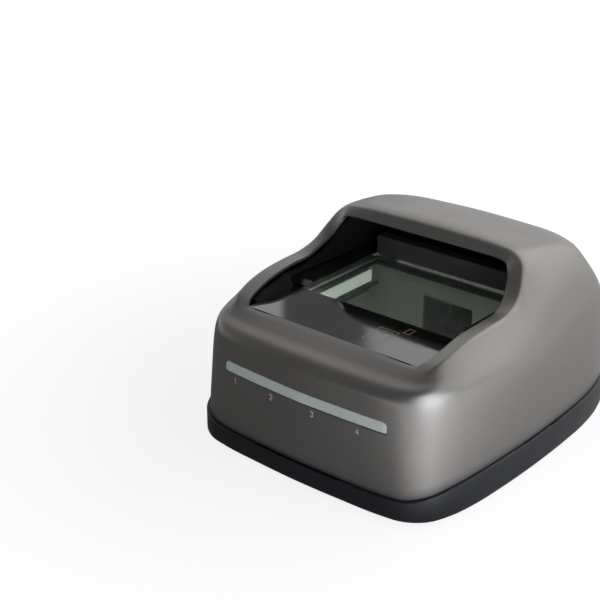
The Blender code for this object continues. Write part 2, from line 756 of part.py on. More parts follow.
def make_base_tray():
    cover = seam_loop(STATION_STEPS)
    outer = inset_loop(cover, -BASE_OVERHANG)
    tongue_out = inset_loop(cover, COVER_WALL + TONGUE_GAP)
    tongue_in = inset_loop(cover, COVER_WALL + TONGUE_GAP + TONGUE_WALL)
    inner = inset_loop(outer, BASE_WALL + TONGUE_WALL)
    top = SEAM_Z - SEAM_GAP
    low = FOOT_STAND
    rows = [
        at_height(inset_loop(outer, BASE_CURVE), low),
        at_height(inset_loop(outer, BASE_CURVE / 4), low + BASE_CURVE / 3),
        at_height(outer, low + BASE_CURVE),
        at_height(outer, low + BASE_HEM),
        at_seam(inset_loop(outer, FIT), top - FIT),
        at_seam(inset_loop(outer, FIT + FIT), top),
        at_seam(tongue_out, top),
        at_seam(tongue_out, top + TONGUE_RISE),
        at_seam(tongue_in, top + TONGUE_RISE),
        at_seam(tongue_in, top - BASE_WALL),
        at_seam(inner, top - BASE_WALL - TONGUE_WALL),
        at_height(inner, FLOOR_Z),
    ]
    count = len(outer)
    faces = skin_faces(rows)
    faces.append(tuple(reversed(range(count))))
    faces.append(tuple(range((len(rows) - 1) * count, len(rows) * count)))
    item = mesh_object("base_tray", [p for row in rows for p in row], faces, tray_plastic())
    columns = []
    bores = []
    for side, outer_x, y in boss_places():
        centre = side * (outer_x - BOSS_WIDTH / 2)
        columns.append(disc_parts((centre, y), BOSS_WIDTH / 2, FLOOR_Z - BASE_WALL / 2, BOSS_Z - SEAM_GAP - FIT, 14))
        bores.append(disc_parts((centre, y), BASE_SCREW_RADIUS + FIT, FOOT_STAND - OVERRUN, BOSS_Z + OVERRUN, 12))
        bores.append(disc_parts((centre, y), BASE_HEAD_RADIUS + FIT, FOOT_STAND - OVERRUN,
                                FOOT_STAND + BASE_HEAD_RECESS, 14))
    fuse(item, merged("base_columns", columns))
    posts = [disc_parts(place, STANDOFF_RADIUS, FLOOR_Z - BASE_WALL / 2, MAIN_BOARD_Z - FIT, 12)
             for place in standoff_places()]
    fuse(item, merged("board_posts", posts))
    post_bores = [disc_parts(place, STANDOFF_BORE, FLOOR_Z + BASE_WALL / 3, MAIN_BOARD_Z + OVERRUN, 12)
                  for place in standoff_places()]
    cut(item, merged("post_bores", post_bores))
    cut(item, merged("base_shank_bores", bores[0::2]))
    cut(item, merged("base_head_bores", bores[1::2]))
    notches = []
    for side, outer_x, y in boss_places():
        near = side * (outer_x - BOSS_WIDTH - FIT - FIT)
        far = side * (outer_x + OVERRUN)
        notches.append(block_parts(min(near, far), max(near, far), y - BOSS_WIDTH / 2 - FIT - FIT,
                                   y + BOSS_WIDTH / 2 + FIT + FIT, BOSS_Z - SEAM_GAP - FIT,
                                   BOSS_Z + TONGUE_RISE + OVERRUN))
    cut(item, merged("tongue_notches", notches))
    recesses = [disc_parts(place, FOOT_RADIUS + FIT, FOOT_STAND - OVERRUN, FOOT_STAND + FOOT_RECESS, 20)
                for place in foot_places()]
    cut(item, merged("foot_recesses", recesses))
    slots = []
    for k in range(VENT_COUNT):
        x = (k - (VENT_COUNT - 1) / 2) * VENT_PITCH
        slots.append(block_parts(x - VENT_WIDTH / 2, x + VENT_WIDTH / 2, CHAMBER_FRONT_Y - VENT_LENGTH - OVERRUN,
                                 CHAMBER_FRONT_Y - OVERRUN, FOOT_STAND - OVERRUN, FLOOR_Z + OVERRUN))
    cut(item, merged("vent_slots", slots))
    shade(item)
    return item


def foot_places():
    half = COVER_HALF - FOOT_SIDE_INSET
    return [(side * half, y) for y in (FRONT + FOOT_FRONT_INSET, COVER_DEPTH / 2 - FOOT_REAR_INSET)
            for side in (-1, 1)]


def make_foot(corner, place, material):
    foot = disc_parts(place, FOOT_RADIUS, 0.0, FOOT_STAND + FOOT_RECESS - FIT, 20)
    item = merged("foot_" + corner, [foot], material)
    shade(item)
    return item


def make_feet():
    material = rubber("foot_rubber")
    for corner, place in zip(CORNERS, foot_places()):
        make_foot(corner, place, material)


def screw_shapes(x, y, seat, head_radius, head_height, shank_radius, reach, head_down, sides=12):
    """One screw as a single turned solid: head on its seat and shank through it."""
    steps = [(0.0, 0.0), (head_radius, 0.0), (head_radius, head_height), (shank_radius, head_height),
             (shank_radius, head_height + reach), (0.0, head_height + reach)]
    verts = []
    faces = []
    sign = 1 if head_down else -1
    base = seat - sign * head_height
    for radius, along in steps[1:-1]:
        for k in range(sides):
            angle = math.tau * k / sides
            verts.append((x + radius * math.cos(angle), y + radius * math.sin(angle), base + sign * along))
    for r in range(3):
        for k in range(sides):
            after = (k + 1) % sides
            faces.append((r * sides + k, r * sides + after, (r + 1) * sides + after, (r + 1) * sides + k))
    faces.append(tuple(range(sides)))
    faces.append(tuple(reversed(range(3 * sides, 4 * sides))))
    return verts, faces


def make_base_screws():
    seat = FOOT_STAND + BASE_HEAD_RECESS - FIT
    reach = BOSS_Z + BOSS_RISE - BASE_WALL - FIT - seat
    material = steel("base_screw_steel")
    for corner, (side, outer, y) in zip(CORNERS, boss_places()):
        shape = screw_shapes(side * (outer - BOSS_WIDTH / 2), y, seat, BASE_HEAD_RADIUS,
                             BASE_HEAD_HEIGHT, BASE_SCREW_RADIUS, reach, True)
        shade(merged("base_screw_" + corner, [shape], material))


def deck_half(y_share):
    return LINER_HALF + LINER_THICK * y_share


def make_platen_frame():
    """Black frame under glass and panel, with a sloped flank under each rail."""
    foot = LINER_HALF + FIT
    front_y = FRONT + PLATEN_FRONT - PANEL_THICK / 2
    flank_front = PANEL_FRONT_Y + PANEL_THICK
    back_y = LINER_BACK_Y + FIT
    waist = PANEL_HALF + FIT + FLANK_RUN
    outline = [(-PANEL_HALF, front_y), (PANEL_HALF, front_y), (waist, flank_front),
               (waist, LINER_FRONT_Y - FIT), (foot, LINER_FRONT_Y - FIT),
               (foot, STOP_FRONT_Y), (foot * LINER_BACK_WIDTH_SHARE, back_y)]
    outline += [(-x, y) for x, y in reversed(outline[2:])]
    item = merged("platen_frame", [prism_along_z(outline, DECK_BOTTOM, DECK_TOP)], matte_black("frame_black"))
    flank_back = LINER_FRONT_Y - FIT
    flanks = []
    edges = [cover_profile(k)[-1] for k in FLANK_STATIONS]
    for side in (-1, 1):
        low_in = (PANEL_HALF + FIT) * side
        root = DECK_TOP - DECK_THICK / 2
        verts = []
        for k, edge in enumerate(edges):
            y = min(edge.y + FLANK_SHIFT, flank_back) if k < len(edges) - 1 else flank_back
            high = max(edge.z - COVER_WALL - FLANK_DROP, PLATEN_Z + FIT)
            verts += [(low_in, y, root), (low_in, y, PLATEN_Z), (side * (edge.x - COVER_WALL), y, high),
                      (side * edge.x, y, high), (side * edge.x, y, root)]
        last = 5 * (len(edges) - 1)
        faces = [tuple(range(5)), tuple(reversed(range(last, last + 5)))]
        faces += [(r + k, r + 5 + k, r + 5 + (k + 1) % 5, r + (k + 1) % 5)
                  for r in range(0, last, 5) for k in range(5)]
        flanks.append((verts, faces))
    fuse(item, merged("rail_flanks", flanks))
    half = GLASS_HALF - GASKET_BAND
    window = merged("deck_window", [block_parts(-half, half, GLASS_FRONT_Y + GASKET_BAND, GLASS_BACK_Y - GASKET_BAND,
                                                DECK_BOTTOM - OVERRUN, DECK_TOP + OVERRUN)])
    cut(item, window)
    bores = [disc_parts(place, DECK_SCREW_SHANK + FIT, DECK_BOTTOM - OVERRUN, DECK_TOP + OVERRUN, 10)
             for place in deck_screw_places()]
    heads = [disc_parts(place, DECK_SCREW_HEAD + FIT, DECK_TOP - DECK_SCREW_HEAD_HEIGHT - FIT,
                        DECK_TOP + OVERRUN, 12) for place in deck_screw_places()]
    cut(item, merged("deck_shank_bores", bores))
    cut(item, merged("deck_head_bores", heads))
    shade(item)
    return item


def deck_screw_places():
    x = CHAMBER_HALF + CHAMBER_FLANGE / 2
    return [(side * x, y) for y in (GLASS_FRONT_Y + LEG_INSET, GLASS_BACK_Y - LEG_INSET) for side in (-1, 1)]


def make_frame_screws():
    material = steel("frame_screw_steel")
    for corner, (x, y) in zip(CORNERS, deck_screw_places()):
        shape = screw_shapes(x, y, DECK_TOP - DECK_SCREW_HEAD_HEIGHT, DECK_SCREW_HEAD,
                             DECK_SCREW_HEAD_HEIGHT - FIT, DECK_SCREW_SHANK, DECK_THICK + FIT, False, 10)
        shade(merged("frame_screw_" + corner, [shape], material))


def make_front_panel():
    parts = block_parts(-PANEL_HALF, PANEL_HALF, PANEL_FRONT_Y, PANEL_BACK_Y, DECK_TOP + FIT, PLATEN_Z)
    return merged("front_panel", [parts], gloss_black("panel_black"))


def make_scan_glass():
    parts = block_parts(-GLASS_HALF, GLASS_HALF, GLASS_FRONT_Y, GLASS_BACK_Y, PLATEN_Z - GLASS_THICK, PLATEN_Z)
    return merged("scan_glass", [parts], clear_glass())


def ring_parts(half, y0, y1, band, z0, z1):
    outer = [(-half, y0), (half, y0), (half, y1), (-half, y1)]
    inner = [(-half + band, y0 + band), (half - band, y0 + band), (half - band, y1 - band), (-half + band, y1 - band)]
    verts = [(x, y, z) for z in (z0, z1) for x, y in outer + inner]
    faces = []
    for k in range(4):
        n = (k + 1) % 4
        faces += [(k, n, 4 + n, 4 + k), (8 + k, 12 + k, 12 + n, 8 + n), (k, 8 + k, 8 + n, n),
                  (4 + k, 4 + n, 12 + n, 12 + k)]
    return verts, faces


def make_glass_gasket():
    high = PLATEN_Z - GLASS_THICK - FIT / 2
    parts = ring_parts(GLASS_HALF, GLASS_FRONT_Y, GLASS_BACK_Y, GASKET_BAND, DECK_TOP + FIT / 2, high)
    return merged("glass_gasket", [parts], rubber("gasket_rubber"))


def make_reference_strip():
    inner = -GLASS_HALF + GASKET_BAND + FIT
    parts = block_parts(inner, inner + STRIP_WIDTH, GLASS_FRONT_Y + GASKET_BAND + FIT,
                        GLASS_BACK_Y - GASKET_BAND - FIT, PLATEN_Z - GLASS_THICK - FIT - STRIP_THICK,
                        PLATEN_Z - GLASS_THICK - FIT)
    return merged("reference_strip", [parts], make_material("strip_white", (0.62, 0.70, 0.64), 0.6))


def make_guide(name, side):
    front = GLASS_FRONT_Y - GUIDE_AHEAD
    top = PLATEN_Z + GUIDE_RISE
    outline = [(front, DECK_TOP + FIT), (front, PLATEN_Z - GUIDE_RISE), (front + GUIDE_LEAD, top),
               (LINER_BACK_Y - LINER_THICK - FIT - LEG_INSET, top),
               (LINER_BACK_Y - LINER_THICK - FIT - LEG_INSET, DECK_TOP + FIT)]
    inner = GUIDE_IN
    outer = GUIDE_OUT
    low, high = sorted((side * inner, side * outer))
    item = merged(name, [prism_along_x(outline, low, high)], gloss_black(name + "_black"))
    bevel_edges(item, GUIDE_BEVEL, 1)
    return item


def make_rear_stop():
    half = GLASS_HALF
    parts = block_parts(-half, half, STOP_FRONT_Y, STOP_FRONT_Y + STOP_DEPTH, DECK_TOP + FIT,
                        DECK_TOP + FIT + STOP_HEIGHT)
    item = merged("rear_stop", [parts], gloss_black("stop_black"))
    bevel_edges(item, STOP_BEVEL)
    shade(item)
    return item


def liner_edge(back):
    half = LINER_HALF
    mouth = along(RIM_SHARES[-1][1]) + LINER_LIP_COVER
    points = []
    for x, z, y in LINER_SHARES:
        if back:
            points.append(Vector((x * half * LINER_BACK_WIDTH_SHARE, LINER_BACK_Y,
                                  DECK_TOP + FIT + z * LINER_HEIGHT * LINER_BACK_HEIGHT_SHARE)))
        else:
            points.append(Vector((x * half, LINER_FRONT_Y + y * (mouth - LINER_FRONT_Y),
                                  DECK_TOP + FIT + z * LINER_HEIGHT)))
    return points + [mirrored(p) for p in reversed(points[:-1])]


def make_hood_liner():
    """Dark inner shell of the hood: an arch with a back wall, open to the front."""
    front = liner_edge(False)
    back = liner_edge(True)
    count = len(front)
    columns = 4
    verts = []
    for c in range(columns + 1):
        for a, b in zip(front, back):
            foot_front = LINER_FRONT_Y
            y = a.y + (b.y - a.y) * c / columns
            run = (y - foot_front) / (b.y - foot_front)
            first = Vector((a.x, y, a.z))
            last = Vector((b.x, y, b.z))
            verts.append(between(first, last, max(0.0, run)))
    faces = []
    for c in range(columns):
        for k in range(count - 1):
            faces.append((c * count + k, c * count + k + 1, (c + 1) * count + k + 1, (c + 1) * count + k))
    faces.append(tuple(range(columns * count, (columns + 1) * count)))
    item = mesh_object("hood_liner", verts, faces, matte_black("liner_black"))
    wall = item.modifiers.new("wall", "SOLIDIFY")
    wall.thickness = LINER_THICK
    wall.offset = -1
    wall.use_even_offset = True
    shade(item)
    return item


def make_light_bar():
    front = bar_shape(BAR_PROUD, FRONT + BAR_BACK, 0.0)
    item = merged("light_bar", [front], frosted_light())
    pegs = []
    low = SEAM_Z + BAR_RISE
    for side in (-1, 1):
        x = side * (INDICATOR_BOARD_WIDTH / 2 - PEG_WIDTH)
        pegs.append(block_parts(x - PEG_WIDTH / 2, x + PEG_WIDTH / 2, FRONT + BAR_BACK - PEG_WIDTH / 2,
                                FRONT + BAR_BACK + INDICATOR_THICK + FIT, low + GUIDE_RISE,
                                low + BAR_HEIGHT - GUIDE_RISE))
    fuse(item, merged("bar_pegs", pegs))
    shade(item, 25)
    return item


def indicator_face():
    return FRONT + BAR_BACK + FIT + INDICATOR_THICK + FIT


def make_indicator_board():
    """Circuit board behind the light bar with its soldered lamps."""
    half = INDICATOR_BOARD_WIDTH / 2
    mid = SEAM_Z + BAR_RISE + BAR_HEIGHT / 2
    parts = block_parts(-half, half, indicator_face(), indicator_face() + BOARD_THICK,
                        mid - INDICATOR_BOARD_HEIGHT / 2, mid + INDICATOR_BOARD_HEIGHT / 2)
    item = merged("indicator_board", [parts], board_green("indicator_board_green"))
    shapes = []
    for k in range(INDICATOR_COUNT):
        x = (k - (INDICATOR_COUNT - 1) / 2) * INDICATOR_PITCH
        shapes.append(block_parts(x - INDICATOR_WIDTH / 2, x + INDICATOR_WIDTH / 2, FRONT + BAR_BACK + FIT,
                                  indicator_face() + BOARD_THICK / 2, mid - INDICATOR_WIDTH / 2,
                                  mid + INDICATOR_WIDTH / 2))
    fuse(item, merged("indicator_lamps", shapes))
    return item


def make_optical_chamber():
    """Dark box under the glass that holds mirror and lamps, open at the top."""
    half = CHAMBER_HALF
    item = merged("optical_chamber", [block_parts(-half, half, CHAMBER_FRONT_Y, CHAMBER_BACK_Y, CHAMBER_Z, CHAMBER_TOP)],
                  matte_black("chamber_black"))
    flange = merged("chamber_flange", [block_parts(-half - CHAMBER_FLANGE, half + CHAMBER_FLANGE, CHAMBER_FRONT_Y + LEG_INSET / 2,
                                                   CHAMBER_BACK_Y - LEG_INSET / 2, CHAMBER_TOP - CHAMBER_WALL,
                                                   CHAMBER_TOP)])
    fuse(item, flange)
    legs = [disc_parts((side * (half - LEG_INSET), y), LEG_RADIUS, FLOOR_Z + FIT, CHAMBER_Z + CHAMBER_WALL / 2, 12)
            for y in (CHAMBER_FRONT_Y + LEG_INSET, CHAMBER_BACK_Y - LEG_INSET) for side in (-1, 1)]
    fuse(item, merged("chamber_legs", legs))
    inner = half - CHAMBER_WALL
    hollow = merged("chamber_hollow", [block_parts(-inner, inner, CHAMBER_FRONT_Y + CHAMBER_WALL,
                                                   CHAMBER_BACK_Y - CHAMBER_WALL, CHAMBER_Z + CHAMBER_WALL,
                                                   CHAMBER_TOP + OVERRUN)])
    cut(item, hollow)
    fuse(item, merged("mirror_wedges", wedge_shapes()))
    wide = LENS_WINDOW_WIDTH / 2
    tall = LENS_WINDOW_HEIGHT / 2
    window = merged("lens_window", [block_parts(-wide, wide, CHAMBER_BACK_Y - CHAMBER_WALL - OVERRUN,
                                                CHAMBER_BACK_Y + OVERRUN, AXIS_Z - tall, AXIS_Z + tall)])
    cut(item, window)
    notches = []
    for side in (-1, 1):
        x = side * lead_wall_x()
        reach = LEAD_RADIUS + FIT + FIT
        notches.append(block_parts(x - reach, x + reach, CHAMBER_BACK_Y - CHAMBER_WALL - OVERRUN,
                                   CHAMBER_BACK_Y + OVERRUN, lead_z() - reach, lead_z() + reach))
    cut(item, merged("lead_notches", notches))
    bores = [disc_parts(place, DECK_SCREW_SHANK + FIT, CHAMBER_TOP - CHAMBER_WALL - OVERRUN,
                        CHAMBER_TOP + OVERRUN, 10) for place in deck_screw_places()]
    cut(item, merged("flange_bores", bores))
    return item


def lamp_mid():
    return CHAMBER_TOP - ANTENNA_THICK - LAMP_DROP - LAMP_BOARD_HEIGHT / 2


def lead_z():
    return lamp_mid() - LAMP_BOARD_HEIGHT / 4


def lead_wall_x():
    return CHAMBER_HALF - CHAMBER_WALL - FIT - BOARD_THICK - FIT - LEAD_RADIUS


def make_fold_mirror():
    half = MIRROR_HALF
    parts = block_parts(-half, half, -MIRROR_LENGTH / 2, MIRROR_LENGTH / 2, -MIRROR_THICK, 0.0)
    item = merged("fold_mirror", [parts], make_material("mirror_silver", (0.85, 0.87, 0.88), 0.04, 1.0))
    item.location = (0, MIRROR_Y, AXIS_Z)
    item.rotation_euler = (-math.pi / 4, 0, 0)
    return item


def wedge_shapes():
    """Two right-angled cheeks of the chamber that carry the mirror at 45 degrees."""
    floor = CHAMBER_Z + CHAMBER_WALL / 2
    line = MIRROR_Y + AXIS_Z - (MIRROR_THICK + FIT) * math.sqrt(2)
    back_y = line - floor
    outline = [(back_y - WEDGE_RUN, floor), (back_y, floor), (back_y - WEDGE_RUN, floor + WEDGE_RUN)]
    shapes = []
    for side in (-1, 1):
        low, high = sorted((side * (MIRROR_HALF - WEDGE_WIDTH), side * MIRROR_HALF))
        shapes.append(prism_along_x(outline, low, high))
    return shapes


def bracket_plate_y():
    return CHAMBER_BACK_Y + FIT + BRACKET_DEPTH


def make_camera_bracket():
    """Bent sheet on the back of the chamber: two side legs, feet and a back plate with a hole."""
    half = BRACKET_WIDTH / 2
    low = AXIS_Z - BRACKET_HEIGHT / 2
    high = AXIS_Z + BRACKET_HEIGHT / 2
    plate_y = bracket_plate_y()
    foot_y = CHAMBER_BACK_Y + FIT
    foot = BRACKET_THICK * 4
    half_out = half + foot
    outline = [(-half_out, foot_y), (-half + BRACKET_THICK, foot_y), (-half + BRACKET_THICK, plate_y - BRACKET_THICK),
               (half - BRACKET_THICK, plate_y - BRACKET_THICK), (half - BRACKET_THICK, foot_y), (half_out, foot_y),
               (half_out, foot_y + BRACKET_THICK), (half, foot_y + BRACKET_THICK), (half, plate_y), (-half, plate_y),
               (-half, foot_y + BRACKET_THICK), (-half_out, foot_y + BRACKET_THICK)]
    item = merged("camera_bracket", [prism_along_z(outline, low, high)], steel("bracket_steel"))
    reach = HOLDER_SIZE / 2 + FIT + FIT
    hole = merged("holder_hole", [block_parts(-reach, reach, plate_y - BRACKET_THICK - OVERRUN, plate_y + OVERRUN,
                                              AXIS_Z - reach, AXIS_Z + reach)])
    cut(item, hole)
    spread = CAMERA_BOARD_SIZE / 2 - SPACER_INSET
    pillars = [rod_along_y(x * spread, AXIS_Z + z * spread, SPACER_RADIUS, plate_y - BRACKET_THICK / 2,
                           plate_y + SPACER_LENGTH, 10) for x in (-1, 1) for z in (-1, 1)]
    fuse(item, merged("bracket_pillars", pillars))
    return item


def camera_board_y():
    return bracket_plate_y() + SPACER_LENGTH + FIT


def make_camera_board():
    half = CAMERA_BOARD_SIZE / 2
    parts = block_parts(-half, half, camera_board_y(), camera_board_y() + BOARD_THICK, AXIS_Z - half, AXIS_Z + half)
    return merged("camera_board", [parts], board_green("camera_board_green"))


def make_lens_holder():
    half = HOLDER_SIZE / 2
    back = camera_board_y() - FIT
    parts = block_parts(-half, half, back - HOLDER_LENGTH, back, AXIS_Z - half, AXIS_Z + half)
    return merged("lens_holder", [parts], matte_black("holder_black"))


def make_lens_barrel():
    back = camera_board_y() - FIT - HOLDER_LENGTH - FIT
    item = merged("lens_barrel", [rod_along_y(0, AXIS_Z, BARREL_RADIUS, back - BARREL_LENGTH, back, 20)],
                  matte_black("barrel_black"))
    bowl = merged("barrel_bowl", [rod_along_y(0, AXIS_Z, BARREL_TIP_RADIUS, back - BARREL_LENGTH - OVERRUN,
                                              back - BARREL_LENGTH + BARREL_TIP_LENGTH, 20)])
    cut(item, bowl)
    shade(item)
    return item


def lamp_range():
    mid = (GLASS_FRONT_Y + GLASS_BACK_Y) / 2
    return mid - LAMP_BOARD_LENGTH / 2, mid + LAMP_BOARD_LENGTH / 2


def lamp_wall(side, near, far):
    """Two x values, counted inward from the chamber's side wall."""
    wall = CHAMBER_HALF - CHAMBER_WALL - FIT
    return sorted((side * (wall - near), side * (wall - far)))


def make_lamp_board(name, side):
    """Circuit board on the chamber's side wall with its row of soldered lamps."""
    y0, y1 = lamp_range()
    x0, x1 = lamp_wall(side, 0.0, BOARD_THICK)
    z = lamp_mid()
    parts = block_parts(x0, x1, y0, y1, z - LAMP_BOARD_HEIGHT / 2, z + LAMP_BOARD_HEIGHT / 2)
    item = merged(name, [parts], board_green(name + "_green"))
    x0, x1 = lamp_wall(side, BOARD_THICK / 2, BOARD_THICK + LAMP_THICK)
    z = lamp_mid() + LAMP_BOARD_HEIGHT / 4
    shapes = []
    for k in range(LAMP_COUNT):
        y = y0 + (y1 - y0) * (k + 0.5) / LAMP_COUNT
        shapes.append(block_parts(x0, x1, y - LAMP_SIZE / 2, y + LAMP_SIZE / 2, z - LAMP_SIZE / 2, z + LAMP_SIZE / 2))
    fuse(item, merged(name + "_lamps", shapes))
    return item


def make_diffuser(name, side):
    y0, y1 = lamp_range()
    start = BOARD_THICK + LAMP_THICK + FIT
    x0, x1 = lamp_wall(side, start, start + DIFFUSER_THICK)
    z = lamp_mid() + LAMP_BOARD_HEIGHT / 4
    parts = block_parts(x0, x1, y0, y1, z - LAMP_BOARD_HEIGHT / 4, z + LAMP_BOARD_HEIGHT / 4)
    return merged(name, [parts], make_material(name + "_frost", (0.70, 0.78, 0.74), 0.5))


def make_antenna_board():
    half = CHAMBER_HALF - CHAMBER_WALL - FIT
    y0 = CHAMBER_FRONT_Y + CHAMBER_WALL + FIT
    y1 = CHAMBER_BACK_Y - CHAMBER_WALL - FIT
    high = DECK_BOTTOM - FIT
    parts = ring_parts(half, y0, y1, ANTENNA_BAND, high - ANTENNA_THICK, high)
    return merged("antenna_board", [parts], board_green("antenna_board_green"))


def make_document_sensor():
    high = DECK_BOTTOM - FIT - ANTENNA_THICK - FIT
    y0 = CHAMBER_FRONT_Y + CHAMBER_WALL + FIT
    parts = block_parts(SENSOR_OFFSET - SENSOR_WIDTH / 2, SENSOR_OFFSET + SENSOR_WIDTH / 2, y0, y0 + SENSOR_DEPTH,
                        high - SENSOR_HEIGHT, high)
    return merged("document_sensor", [parts], gloss_black("sensor_black"))


def standoff_places():
    half = MAIN_BOARD_WIDTH / 2 - STANDOFF_INSET
    return [(x, y) for y in (MAIN_FRONT_Y + STANDOFF_INSET, MAIN_FRONT_Y + MAIN_BOARD_DEPTH - STANDOFF_INSET)
            for x in (-half, half)]


def make_main_board():
    half = MAIN_BOARD_WIDTH / 2
    parts = block_parts(-half, half, MAIN_FRONT_Y, MAIN_FRONT_Y + MAIN_BOARD_DEPTH, MAIN_BOARD_Z, MAIN_TOP)
    item = merged("main_board", [parts], board_green("main_board_green"))
    bores = [disc_parts(place, SCREW_SHANK_RADIUS + FIT, MAIN_BOARD_Z - OVERRUN, MAIN_TOP + OVERRUN, 12)
             for place in standoff_places()]
    cut(item, merged("board_bores", bores))
    return item


def make_board_screws():
    material = steel("board_screw_steel")
    for corner, (x, y) in zip(CORNERS, standoff_places()):
        shape = screw_shapes(x, y, MAIN_TOP + FIT, SCREW_HEAD_RADIUS, SCREW_HEAD_HEIGHT, SCREW_SHANK_RADIUS,
                             SCREW_SHANK_DROP, False, 10)
        shade(merged("board_screw_" + corner, [shape], material))


def make_processor():
    half = PROCESSOR_SIZE / 2
    y = MAIN_FRONT_Y + MAIN_BOARD_DEPTH / 2
    parts = block_parts(-PROCESSOR_OFFSET - half, -PROCESSOR_OFFSET + half, y - half, y + half, MAIN_TOP + FIT,
                        MAIN_TOP + FIT + PROCESSOR_THICK)
    return merged("processor", [parts], matte_black("processor_black"))


def make_heat_sink():
    """Extruded finned block on the processor."""
    low = MAIN_TOP + FIT + PROCESSOR_THICK + FIT
    y = MAIN_FRONT_Y + MAIN_BOARD_DEPTH / 2
    half = SINK_SIZE / 2
    pitch = (SINK_SIZE - SINK_SIZE / SINK_FINS * SINK_FIN_SHARE) / (SINK_FINS - 1)
    fin = SINK_SIZE / SINK_FINS * SINK_FIN_SHARE
    outline = [(-half, low), (half, low)]
    for k in range(SINK_FINS):
        right = half - pitch * k
        outline += [(right, low + SINK_HEIGHT), (right - fin, low + SINK_HEIGHT)]
        if k < SINK_FINS - 1:
            outline += [(right - fin, low + SINK_BASE), (right - pitch, low + SINK_BASE)]
    count = len(outline)
    verts = [(x - PROCESSOR_OFFSET, y + d, z) for d in (-half, half) for x, z in outline]
    faces = [tuple(range(count)), tuple(reversed(range(count, count + count)))]
    faces += [(k, count + k, count + (k + 1) % count, (k + 1) % count) for k in range(count)]
    return mesh_object("heat_sink", verts, faces, make_material("sink_aluminium", (0.62, 0.63, 0.65), 0.35, 1.0))


def make_buzzer():
    place = (BUZZER_OFFSET, MAIN_FRONT_Y + MAIN_BOARD_DEPTH / 2)
    item = merged("buzzer", [disc_parts(place, BUZZER_RADIUS, MAIN_TOP + FIT, MAIN_TOP + FIT + BUZZER_HEIGHT, 20)],
                  matte_black("buzzer_black"))
    cut(item, merged("buzzer_hole", [disc_parts(place, SCREW_SHANK_RADIUS, MAIN_TOP + BUZZER_HEIGHT / 2,
                                                MAIN_TOP + BUZZER_HEIGHT + OVERRUN, 10)]))
    shade(item)
    return item


def make_capacitor():
    place = (CAPACITOR_OFFSET, MAIN_FRONT_Y + MAIN_BOARD_DEPTH * 2 / 3)
    item = merged("board_capacitor", [disc_parts(place, CAPACITOR_RADIUS, MAIN_TOP + FIT,
                                                 MAIN_TOP + FIT + CAPACITOR_HEIGHT, 16)],
                  make_material("capacitor_blue", (0.03, 0.04, 0.12), 0.35))
    shade(item)
    return item


def make_header(name, x):
    """Plug header at the front edge of the main board."""
    parts = block_parts(x - HEADER_WIDTH / 2, x + HEADER_WIDTH / 2, header_y() - HEADER_DEPTH / 2,
                        header_y() + HEADER_DEPTH / 2, MAIN_TOP + FIT, MAIN_TOP + FIT + HEADER_HEIGHT)
    return merged(name, [parts], make_material(name + "_ivory", (0.55, 0.52, 0.42), 0.5))


def header_x():
    return MAIN_BOARD_WIDTH / 2 - STANDOFF_INSET - STANDOFF_RADIUS - HEADER_WIDTH / 2 - LEAD_RADIUS


def header_y():
    return MAIN_FRONT_Y + HEADER_DEPTH / 2 + FIT


def port_hole(offset, width, height, gap):
    return block_parts(offset - width / 2 - gap, offset + width / 2 + gap, REAR_PANEL_Y - OVERRUN,
                       REAR_PANEL_Y + REAR_PANEL_THICK + OVERRUN, PORT_MID - height / 2 - gap,
                       PORT_MID + height / 2 + gap)


def make_rear_panel():
    half = REAR_PANEL_WIDTH / 2
    item = merged("rear_panel", [block_parts(-half, half, REAR_PANEL_Y, REAR_PANEL_Y + REAR_PANEL_THICK,
                                             FLOOR_Z + FIT, FLOOR_Z + REAR_PANEL_HEIGHT)], matte_black("panel_dark"))
    holes = [port_hole(USB_OFFSET, USB_WIDTH, USB_HEIGHT, FIT), port_hole(JACK_OFFSET, JACK_SIZE, JACK_HEIGHT, FIT),
             port_hole(SWITCH_OFFSET, SWITCH_WIDTH, switch_height(), FIT)]
    cut(item, merged("panel_holes", holes))
    return item


def make_io_board():
    half = IO_BOARD_WIDTH / 2
    item = merged("io_board", [block_parts(-half, half, IO_BOARD_Y - BOARD_THICK, IO_BOARD_Y, FLOOR_Z + FIT,
                                           FLOOR_Z + IO_BOARD_HEIGHT)], board_green("io_board_green"))
    gap = SWITCH_LIP
    hole = block_parts(SWITCH_OFFSET - SWITCH_WIDTH / 2 - gap, SWITCH_OFFSET + SWITCH_WIDTH / 2 + gap,
                       IO_BOARD_Y - BOARD_THICK - OVERRUN, IO_BOARD_Y + OVERRUN, PORT_MID - switch_height() / 2 - gap,
                       PORT_MID + switch_height() / 2 + gap)
    cut(item, merged("io_board_hole", [hole]))
    return item


def make_usb_socket():
    back = IO_BOARD_Y + FIT
    face = REAR_PANEL_Y + REAR_PANEL_THICK
    half = USB_WIDTH / 2
    tall = USB_HEIGHT / 2
    item = merged("usb_socket", [block_parts(USB_OFFSET - half, USB_OFFSET + half, back, face, PORT_MID - tall,
                                             PORT_MID + tall)], steel("socket_steel"))
    inner = half - USB_WALL
    high = tall - USB_WALL
    mouth = merged("usb_mouth", [block_parts(USB_OFFSET - inner, USB_OFFSET + inner, face - USB_DEEP, face + OVERRUN,
                                             PORT_MID - high, PORT_MID + high)])
    cut(item, mouth)
    flat = inner - USB_TONGUE_SIDE_GAP
    tongue = merged("usb_tongue", [block_parts(USB_OFFSET - flat, USB_OFFSET + flat, face - USB_DEEP - FIT, face - FIT,
                                               PORT_MID - USB_TONGUE / 2, PORT_MID + USB_TONGUE / 2)])
    fuse(item, tongue)
    return item


